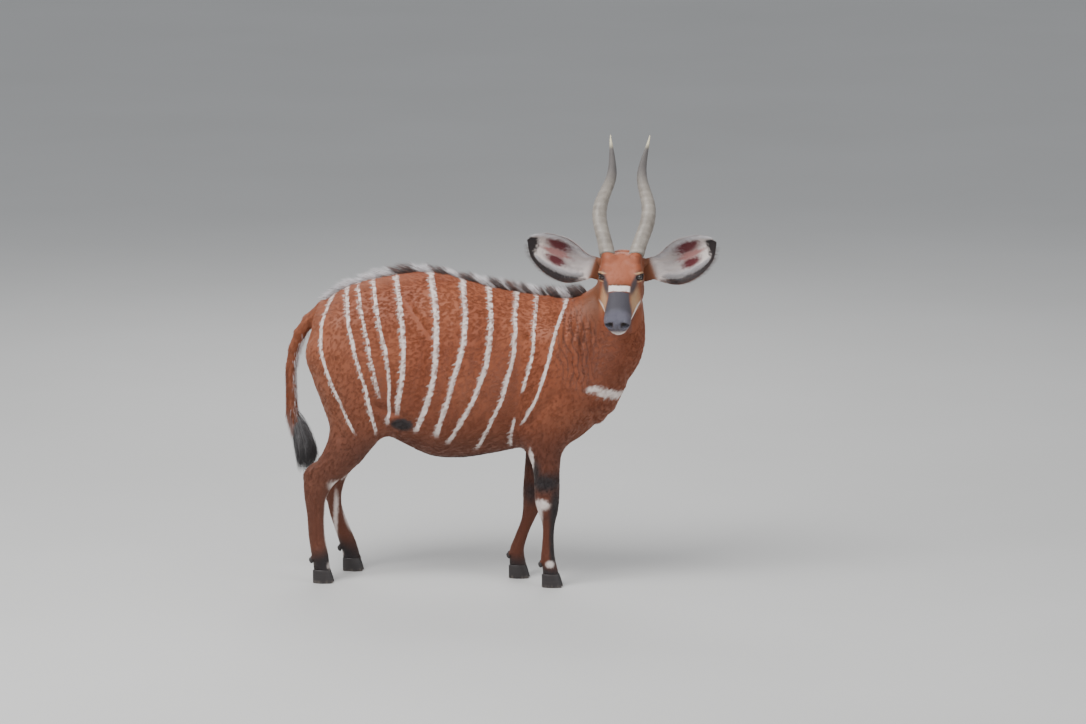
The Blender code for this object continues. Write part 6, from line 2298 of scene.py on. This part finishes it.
@dataclass
class LongHair:
    """The crest on the back, the mane, the tail's tuft and the fringes, each lock as many fine strands."""

    flesh: Flesh
    tail: Tail
    ear: Ear
    skin: Skin
    crest_count: int = 36
    crest_place: tuple[float, float] = (-0.850, -0.034)
    crest_length: tuple[float, ...] = (0.045, 0.074, 0.080, 0.070)
    crest_rise: tuple[float, ...] = (0.18, 0.60, 0.90, 1.80)
    mane_count: int = 10
    mane_place: tuple[float, float] = (0.005, 0.115)
    mane_length: tuple[float, ...] = (0.070, 0.062)
    mane_rise: tuple[float, ...] = (2.00, 1.50)
    sink: float = 0.013
    curl: Place = (-0.012, 0.0, -0.003)
    strands_a_lock: int = 130
    strand_width: float = 0.0013
    whites: tuple = (
        (-0.870, -0.575, 0.88),
        (-0.489, -0.427, 0.95),
        (-0.358, -0.312, 0.90),
        (-0.254, -0.196, 0.90),
        (-0.155, -0.135, 0.60),
        (-0.105, -0.085, 0.60),
        (-0.058, -0.020, 0.90),
        (0.047, 0.090, 0.85),
    )
    tuft_strands: int = 190
    fringe_strands: int = 4200
    fringe_top: float = 0.97
    fringe_drop: float = 0.38
    ear_strands: int = 3600
    lash_count: int = 70
    places: Array = field(init=False)
    heights: Array = field(init=False)

    def __post_init__(self) -> None:
        """Works out the height of the back at places along it."""
        self.places = np.linspace(-0.90, 0.18, 110)
        self.heights = np.array([self.ridge(float(place)) for place in self.places])

    def ridge(self, x: float) -> float:
        """Height of the back at a place along the body."""
        heights = np.arange(0.95, 1.30, 0.0005)
        points = np.stack([np.full_like(heights, x), np.zeros_like(heights), heights], 1)
        return heights[np.argmax(self.flesh.value(points) > 0)]

    def pale(self, x: float) -> float:
        """How white the crest is at a place along the body."""
        return max([share for low, high, share in self.whites if low < x < high], default=0.04)

    def row(self, draw: random.Random, count: int, places: tuple, lengths: tuple, rises: tuple) -> Strands:
        """Strands of a row of locks along the back, swept to the rear.

        Args:
            draw: random numbers, drawn as for the solids' locks.
            count: how many locks.
            places: first and last place along the body.
            lengths: lock lengths from the rear to the front.
            rises: rises of the locks for each unit that they lie back.

        Returns:
            The strands.
        """
        loose = np.random.default_rng(SEED + count)
        strands = Strands()
        for i in range(count):
            share = i / (count - 1)
            x = np.interp(share, (0, 1), places) + draw.uniform(-0.004, 0.004)
            length = spread(lengths, share) + draw.uniform(-0.007, 0.007)
            rise = spread(rises, share) + draw.uniform(-0.10, 0.10)
            side = draw.uniform(-0.009, 0.009)
            run = unit((-1, side * 14, rise)) * length
            for _ in range(self.strands_a_lock):
                dx, dy = loose.uniform(-0.014, 0.014), loose.normal(0, 0.0065)
                place = x + 0.011 + dx
                root = np.array((place, side * 0.6 + dy, self.ridge_at(place) - self.sink))
                grown = run * loose.uniform(0.55, 1.0) + np.array((0, dy * 1.6, 0))
                grown = grown + loose.normal(0, 0.0035, 3)
                pale = 1.0 if loose.uniform() < self.pale(place) else loose.uniform(0, 0.12)
                across = unit((rise, side * 20 + loose.normal(0, 0.6), 1))
                curl = np.array(self.curl) * loose.uniform(0.4, 1.3)
                strands.add(root, grown, curl, across, self.strand_width, pale)
        return strands

    def ridge_at(self, x: float) -> float:
        """The back's height, read from the heights worked out before."""
        return float(np.interp(x, self.places, self.heights))

    def chart(self, region: Region) -> Callable[[Array], Array]:
        """A function that gives roots their places on the skin's unwrap."""

        def flat(roots: Array) -> Array:
            """Places of roots on the unwrap."""
            places = np.tile((-1.0, 0.0, -1.0), (len(roots), 1))
            return self.skin.chart(region.value, roots[:, None], places[:, None])[:, 0]

        return flat

    def tuft(self, draw: random.Random) -> Strands:
        """The tail's tuft: each of the solids' locks as fine strands that flare, then close to a point."""
        loose = np.random.default_rng(SEED + 3)
        strands = Strands(segments=5)
        for i in range(self.tail.locks):
            angle = i * math.pi * (3 - math.sqrt(5))
            top = self.tail.tuft_top - self.tail.tuft_drop * i / self.tail.locks
            low = draw.uniform(-0.002, 0.026)
            for _ in range(self.tuft_strands):
                turn = angle + loose.normal(0, 0.45)
                out = np.array((math.cos(turn), 0.8 * math.sin(turn), 0))
                height = top + loose.normal(0, 0.018)
                root = np.array((self.tail.core(height)[0], 0, height)) + out * 0.010
                end = np.array(self.tail.tuft_tip) + out * 0.012 + np.array((0, 0, low))
                end = end + loose.normal(0, 0.006, 3) + np.array((0, 0, loose.uniform(0, 0.05)))
                bulge = out * self.tail.flare * loose.uniform(0.45, 1.0) + np.array((self.tail.bulge, 0, 0))
                across = np.array((-out[1], out[0], 0)) + loose.normal(0, 0.3, 3)
                grey = 0.30 * loose.uniform() if height > 0.59 else loose.uniform(0, 0.08)
                strands.add(root, end - root + bulge, -bulge, across, 0.0016, grey)
        return strands

    def tail_fringe(self) -> Strands:
        """Longer hair down the tail: rust on its rear edge and white on its front edge."""
        loose = np.random.default_rng(SEED + 5)
        strands = Strands(segments=3)
        for _ in range(self.fringe_strands):
            height = self.fringe_top - self.fringe_drop * loose.uniform() ** 0.75
            front = loose.uniform() < 0.30
            spin = loose.normal(0, 0.50) + (0 if front else math.pi)
            out = np.array((math.cos(spin), math.sin(spin), 0))
            place, radius = self.tail.core(height)
            root = np.array((place, 0, height)) + out * (radius - 0.008)
            low = (self.fringe_top - height) / self.fringe_drop
            length = loose.uniform(0.028, 0.044) + 0.030 * low * loose.uniform(0.3, 1.0)
            run = np.array((0, 0, -1)) * length + out * length * loose.uniform(0.12, 0.40)
            curl = -out * length * 0.18
            pale = 0.75 if front else 0.35 * max(0.0, low - 0.75) / 0.25
            strands.add(root, run, curl, np.array((-out[1], out[0], 0)), 0.0014, pale)
        return strands

    def ear_fringe(self, side: Side) -> Strands:
        """White hair inside an ear, from the root and along both rims.

        Args:
            side: which ear.

        Returns:
            The strands.
        """
        loose = np.random.default_rng(SEED + 7)
        axes = self.ear.axes(side)
        facing = unit(self.ear.facing)
        strands = Strands(segments=3)
        for i in range(self.ear_strands):
            dark = i % 4 == 3
            if i % 4 == 0:
                share, turn = loose.uniform(0.02, 0.34), loose.uniform(-0.55, 0.85)
                length = loose.uniform(0.030, 0.066)
                lean = 0.15 * axes.along * loose.uniform(0.5, 2.0)
            elif i % 4 == 1:
                share, turn = loose.uniform(0.08, 0.90), loose.normal(0.88, 0.05)
                length = loose.uniform(0.018, 0.040)
                lean = np.zeros(3)
            elif i % 4 == 2:
                share, turn = loose.uniform(0.10, 0.80), loose.normal(-0.50, 0.05)
                length = loose.uniform(0.014, 0.032)
                lean = np.zeros(3)
            else:
                share, turn = loose.uniform(0.06, 0.97), loose.uniform(-0.97, -0.62)
                length = loose.uniform(0.012, 0.026)
                lean = 0.05 * axes.along
            turn = float(np.clip(turn, -0.97, 0.97))
            root = self.ear.point(side, float(share), turn, True)
            middle = self.ear.point(side, float(share) + 0.12, turn * 0.2, True)
            inward = middle - root
            if dark:
                inward = -0.30 * inward + 0.05 * axes.along
            run = unit(inward + lean + facing * 0.012 + axes.along * 0.02) * length
            run = run + loose.normal(0, 0.0025, 3)
            curl = facing * 0.004 - run * 0.05
            pale = loose.uniform(0.0, 0.06) if dark else loose.uniform(0.80, 1.0)
            strands.add(root - run * 0.04, run, curl, axes.along, 0.0011, pale)
        return strands

    def lashes(self) -> Strands:
        """Lashes on the upper lids."""
        loose = np.random.default_rng(SEED + 9)
        head = self.flesh.head
        strands = Strands(segments=2)
        for side in Side:
            axes = head.eye_axes(side)
            for angle in np.linspace(0.10, math.pi - 0.10, self.lash_count):
                across = head.lid_opening[0] * 1.02 * math.cos(angle)
                up = head.lid_opening[1] * 1.02 * math.sin(angle)
                out = math.sqrt(head.lid_radius**2 - across**2 - up**2) - 0.003
                root = axes.world(out, up, across)
                run = 0.0065 * axes.along + 0.0048 * axes.up + across * 0.20 * axes.side
                run = run + loose.normal(0, 0.0006, 3)
                strands.add(root, run, axes.up * 0.002, axes.side, 0.0007, 0.0)
        return strands

    def build(
        self, maker: Maker, dark: bpy.types.Material, rust: bpy.types.Material, black: bpy.types.Material
    ) -> None:
        """Makes every piece of long hair.

        Args:
            maker: makes the pieces.
            dark: the crest's material.
            rust: the tail fringe's material.
            black: the material of the tuft and lashes.
        """
        draw = random.Random(SEED)
        tint = np.random.default_rng(SEED)
        crest = self.row(draw, self.crest_count, self.crest_place, self.crest_length, self.crest_rise)
        mane = self.row(draw, self.mane_count, self.mane_place, self.mane_length, self.mane_rise)
        pieces = [
            (crest, "crest", "coat", dark, Region.TORSO),
            (mane, "mane", "coat", dark, Region.NECK),
            (self.tuft(draw), "tail_tuft", "coat", black, Region.TAIL),
            (self.tail_fringe(), "tail_fringe", "coat", rust, Region.TAIL),
            (self.ear_fringe(Side.LEFT), "ear_fringe_left", "ear", dark, Region.HEAD),
            (self.ear_fringe(Side.RIGHT), "ear_fringe_right", "ear", dark, Region.HEAD),
            (self.lashes(), "lashes", "head", black, Region.HEAD),
        ]
        for strands, name, slot, finish, region in pieces:
            mesh = strands.mesh(name, self.chart(region), tint)
            maker.publish(mesh, name, finish)


def spread(values: Sequence[float], share: float) -> float:
    """A value at a share of the way along evenly spaced values."""
    return float(np.interp(share, np.linspace(0, 1, len(values)), values))


def tube(rows: int, count: int) -> list[tuple[int, ...]]:
    """Faces of a tube with capped ends, over rows of points with the same count in each."""
    faces = []
    for i in range(rows - 1):
        for k in range(count):
            a, b = i * count + k, i * count + (k + 1) % count
            faces.append((a, b, b + count, a + count))
    faces.append(tuple(range(count))[::-1])
    faces.append(tuple((rows - 1) * count + k for k in range(count)))
    return faces


def facing_out(mesh: bpy.types.Mesh) -> bpy.types.Mesh:
    """The mesh with all its faces turned outwards."""
    bm = bmesh.new()
    bm.from_mesh(mesh)
    bmesh.ops.recalc_face_normals(bm, faces=bm.faces)
    bm.to_mesh(mesh)
    bm.free()
    mesh.shade_smooth()
    return mesh


@dataclass
class Horns:
    """Both horns: a keeled, once-twisted spire with rings on its lower half."""

    head: Head
    length: float = 0.530
    spread_rows: Rows = ((-0.04, 0.0535), (0.0, 0.0565), (0.284, 0.0935), (0.640, 0.0590), (1.0, 0.0756))
    sweep: Rows = ((0.0, 0.0), (0.35, 0.028), (0.70, 0.020), (1.0, 0.0))
    radius: Rows = (
        (-0.08, 0.0285),
        (0.0, 0.0270),
        (0.15, 0.0275),
        (0.32, 0.0270),
        (0.55, 0.0195),
        (0.80, 0.0110),
        (1.0, 0.0022),
    )
    turns: float = 0.9
    keel: float = 0.18
    rings: int = 190
    sides: int = 40
    ridges: int = 17
    ridge_height: float = 0.0008
    root: float = -0.105
    shaft_end: float = 0.97
    cap: float = 0.03

    def build(self, maker: Maker, finish: bpy.types.Material) -> None:
        """Makes both horns.

        Args:
            maker: makes the pieces.
            finish: their material.
        """
        for side in Side:
            axes = self.head.horn_axes
            point = self.shaft_end + self.cap * np.sin(np.linspace(0.2, 1, 8) * math.pi / 2)
            shares = np.append(np.linspace(self.root, self.shaft_end, self.rings), point)
            points = []
            places = []
            for share in shares:
                along = self.head.horn_stub + share * (self.length - self.head.horn_stub)
                out = smooth(self.spread_rows, along / self.length)[0]
                back = smooth(self.sweep, along / self.length)[0]
                thick = smooth(self.radius, share)[0]
                wave = max(0.0, math.sin(2 * math.pi * self.ridges * share * (1.15 - 0.3 * share))) ** 2
                lower = float(step(np.array(share), 0.72, 0.45))
                for k in range(self.sides):
                    angle = 2 * math.pi * k / self.sides
                    turned = angle - side.value * 2 * math.pi * self.turns * share
                    reach = thick * (1 + self.keel * max(0, math.cos(turned)) ** 3)
                    reach += self.ridge_height * (wave * lower - 0.6)
                    reach = max(reach, 0.0006)
                    across = out + reach * math.cos(angle)
                    points.append(axes.world(along, reach * math.sin(angle) - back, side.value * across))
                    places.append((share, turned / math.pi, wave * lower))
            mesh = mesh_of(f"horn_{side.word}", np.array(points), tube(len(shares), self.sides))
            store(mesh, "horn_place", np.array(places))
            piece = maker.publish(facing_out(mesh), f"horn_spire_{side.word}", finish)
            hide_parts(f"horn_{side.word}")


@dataclass
class Hooves:
    """The claws of each foot, with the dewclaws' horn behind."""

    limbs: Sequence[Limb]
    coronet: float = 0.052
    length: float = 0.078
    width: float = 0.031
    taper: float = 0.42
    cleft: float = 0.0030
    sides: int = 44
    rows: Rows = ((0.0, 1.00, 1.00, 0.006), (0.022, 0.93, 0.98, 0.003), (0.052, 0.80, 0.92, -0.002))
    levels: int = 16
    dewclaw_sizes: Place = (0.0095, 0.0080, 0.0120)
    dewclaw_rings: int = 14
    dewclaw_sides: int = 20

    def build(self, maker: Maker, finish: bpy.types.Material) -> None:
        """Makes the claws and dewclaws of every leg.

        Args:
            maker: makes the pieces.
            finish: their material.
        """
        for limb in self.limbs:
            rear, front, side, _ = smooth(limb.rows, self.coronet)
            for sign, place in ((1, "outer"), (-1, "inner")):
                middle = side + math.copysign(1, side) * sign * (self.cleft + self.width) / 2
                mesh = self.claw((rear + front) / 2, middle, f"claw_{limb.name}_{place}")
                piece = maker.publish(mesh, f"claw_{limb.name}_{place}", finish)
                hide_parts(f"hoof_{limb.name}_{place}")
            maker.publish(self.dewclaws(limb), f"dewclaws_{limb.name}", finish)

    def claw(self, x: float, y: float, name: str) -> bpy.types.Mesh:
        """One claw: a flat sole with a rounded edge, sloping walls and a domed top.

        Args:
            x: its middle along.
            y: its middle across.
            name: the mesh's name.

        Returns:
            The mesh.
        """
        rings = []
        walls = np.linspace(0.006, self.coronet - 0.004, self.levels)
        heights = np.concatenate([[0.0, 0.0, 0.0010, 0.0026], walls])
        inner = [0.55, 0.93, 0.985, 1.0] + [1.0] * self.levels
        heights = np.append(heights, [self.coronet - 0.001, self.coronet, self.coronet])
        inner = inner + [0.97, 0.86, 0.40]
        for height, share in zip(heights, inner):
            long, wide, forward = smooth(self.rows, height)
            wave = 0.0004 * math.sin(height * 900) * (0 < height < self.coronet - 0.004)
            ring = []
            for k in range(self.sides):
                angle = 2 * math.pi * k / self.sides
                reach = (self.length / 2 * long + wave) * math.cos(angle) * share
                taper = 1 - self.taper * max(0, math.cos(angle)) ** 2
                out = (self.width / 2 * wide + wave) * math.sin(angle) * taper * share
                ring.append((x + forward + reach, y + out, height))
            rings.append(ring)
        faces = tube(len(heights), self.sides)
        return facing_out(mesh_of(name, np.array(rings).reshape(-1, 3), faces))

    def dewclaws(self, limb: Limb) -> bpy.types.Mesh:
        """The horn of both dewclaws of a leg."""
        points = []
        faces = []
        deep, wide, tall = self.dewclaw_sizes
        pattern = tube(self.dewclaw_rings, self.dewclaw_sides)
        for along, up, side in limb.dewclaw_places():
            faces += [tuple(len(points) + k for k in face) for face in pattern]
            for turn in np.linspace(0.03, math.pi - 0.03, self.dewclaw_rings):
                out = math.sin(turn) * (0.9 + 0.1 * math.cos(turn))
                z = up - 0.008 - tall * -math.cos(turn)
                for k in range(self.dewclaw_sides):
                    angle = 2 * math.pi * k / self.dewclaw_sides
                    x = along - 0.003 + deep * out * math.cos(angle) - 0.003 * math.cos(turn / 2)
                    points.append((x, side + wide * out * math.sin(angle), z))
        return facing_out(mesh_of("dewclaws", np.array(points), faces))


@dataclass
class Eyes:
    """Both eyeballs, with a slight bulge of the cornea."""

    head: Head
    rings: int = 40
    sides: int = 56
    bulge: float = 0.035

    def build(self, maker: Maker, finish: bpy.types.Material) -> None:
        """Makes both eyes.

        Args:
            maker: makes the pieces.
            finish: their material.
        """
        for side in Side:
            axes = self.head.eye_axes(side)
            points = []
            places = []
            for turn in np.linspace(0.004, math.pi - 0.004, self.rings):
                radius = self.head.eye_radius * (1 + self.bulge * math.exp(-((turn / 0.55) ** 2))) * 0.992
                for k in range(self.sides):
                    angle = 2 * math.pi * k / self.sides
                    flat = math.sin(turn)
                    spot = np.array((math.cos(turn), flat * math.sin(angle), flat * math.cos(angle)))
                    points.append(axes.world(*(radius * spot)))
                    places.append(spot)
            mesh = mesh_of(f"eye_{side.word}", np.array(points), tube(self.rings, self.sides))
            store(mesh, "eye_place", np.array(places))
            piece = maker.publish(facing_out(mesh), f"eyeball_{side.word}", finish)
            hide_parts(f"eye_{side.word}")


@dataclass
class Studio:
    """A plain pale floor, soft light and the camera."""

    look_at: Place = (-0.0305, 0.0, 0.8571)
    azimuth: float = math.radians(8.0)
    elevation: float = math.radians(10.0)
    distance: float = 30.0
    pixels_a_metre: float = 262.0
    picture_width: int = 1086
    sensor: float = 36.0
    floor_size: float = 120.0
    sky: float = 0.60
    lights: tuple = (
        ("key", (-2.2, -3.6, 6.0), 3.6, 560.0),
        ("fill", (4.5, -3.0, 3.0), 3.5, 80.0),
        ("rim", (-1.0, 5.0, 5.0), 3.5, 170.0),
    )

    def build(self, shift: Array) -> None:
        """Makes the floor, lights and camera.

        Args:
            shift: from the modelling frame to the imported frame.
        """
        half = self.floor_size / 2
        corners = np.array([(-half, -half, 0), (half, -half, 0), (half, half, 0), (-half, half, 0)])
        floor = bpy.data.objects.new("floor", mesh_of("floor", corners, [(0, 1, 2, 3)]))
        bpy.context.scene.collection.objects.link(floor)
        material, wires, shader = new_material("floor_pale")
        where = wires.node("ShaderNodeTexCoord").outputs["Object"]
        cloud = wires.noise(where, 0.7, 3.0)
        tone = wires.mix(cloud, colour(196, 195, 192), colour(206, 205, 203))
        wires.join(shader.inputs["Base Color"], tone)
        shader.inputs["Roughness"].default_value = 0.85
        floor.data.materials.append(material)
        world = bpy.data.worlds.new("studio")
        world.use_nodes = True
        world.node_tree.nodes["Background"].inputs[0].default_value = colour(224, 228, 234)
        world.node_tree.nodes["Background"].inputs[1].default_value = self.sky
        bpy.context.scene.world = world
        for name, place, size, power in self.lights:
            self.light(name, place, size, power)
        level = math.cos(self.elevation)
        away = (math.sin(self.azimuth) * level, -math.cos(self.azimuth) * level, math.sin(self.elevation))
        target = np.array(self.look_at) + shift
        camera = bpy.data.cameras.new("camera")
        camera.sensor_width = self.sensor
        camera.lens = self.pixels_a_metre * self.distance * self.sensor / self.picture_width
        camera.clip_end = 200.0
        eye = bpy.data.objects.new("camera", camera)
        bpy.context.scene.collection.objects.link(eye)
        eye.matrix_world = self.looking(target + self.distance * np.array(away), target)
        bpy.context.scene.camera = eye

    def looking(self, place: Array, target: Array) -> Matrix:
        """The placing of a camera or light that looks at a target."""
        axes = Axes(place, np.subtract(place, target), (0, 0, 1))
        turn = np.eye(4)
        turn[:3, 0] = axes.side
        turn[:3, 1] = axes.up
        turn[:3, 2] = axes.along
        turn[:3, 3] = place
        return Matrix(turn.tolist())

    def light(self, name: str, place: Place, size: float, power: float) -> None:
        """Adds one soft square light that looks at the animal."""
        lamp = bpy.data.lights.new(name, "AREA")
        lamp.size = size
        lamp.energy = power
        holder = bpy.data.objects.new(name, lamp)
        bpy.context.scene.collection.objects.link(holder)
        holder.matrix_world = self.looking(np.array(place, float), np.array((0.0, 0.0, 0.8)))


def main() -> None:
    """Builds every piece in order."""
    logging.basicConfig(level=logging.INFO, format="%(relativeCreated)d %(message)s")
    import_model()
    head = Head()
    tail = Tail()
    ear = Ear(head)
    flesh = Flesh(Trunk(), LIMBS, head, tail)
    maker = Maker(head)
    Studio().build(maker.shift)
    painter = CoatPainter(Markings(), head)
    skin_maker = Skin(flesh, ear)
    skin = skin_maker.build()
    LOG.info("skin built")
    LongHair(flesh, tail, ear, skin_maker).build(
        maker,
        LongHairFinish("crest_hair").material(),
        LongHairFinish("tail_hair", dark=colour(150, 76, 38)).material(),
        LongHairFinish("black_hair", dark=colour(26, 20, 20), warmth=0.0).material(),
    )
    ShortCoat(skin).build(maker, CoatFinish("coat_tufts", 0.52, 0.25, 0.25).material(painter, False))
    finish = CoatFinish("coat_skin", 0.58, 0.20, 0.55).material(painter, True)
    body = maker.publish(skin, "skin", finish)
    flesh_nodes = ["torso", "neck", "head", "tail", "ear_left", "ear_right"] + [limb.name for limb in LIMBS]
    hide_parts(*flesh_nodes)
    Horns(head).build(maker, HornFinish().material())
    Hooves(LIMBS).build(maker, HoofFinish().material())
    Eyes(head).build(maker, EyeFinish().material(painter.patch))


if __name__ == "__main__":
    main()
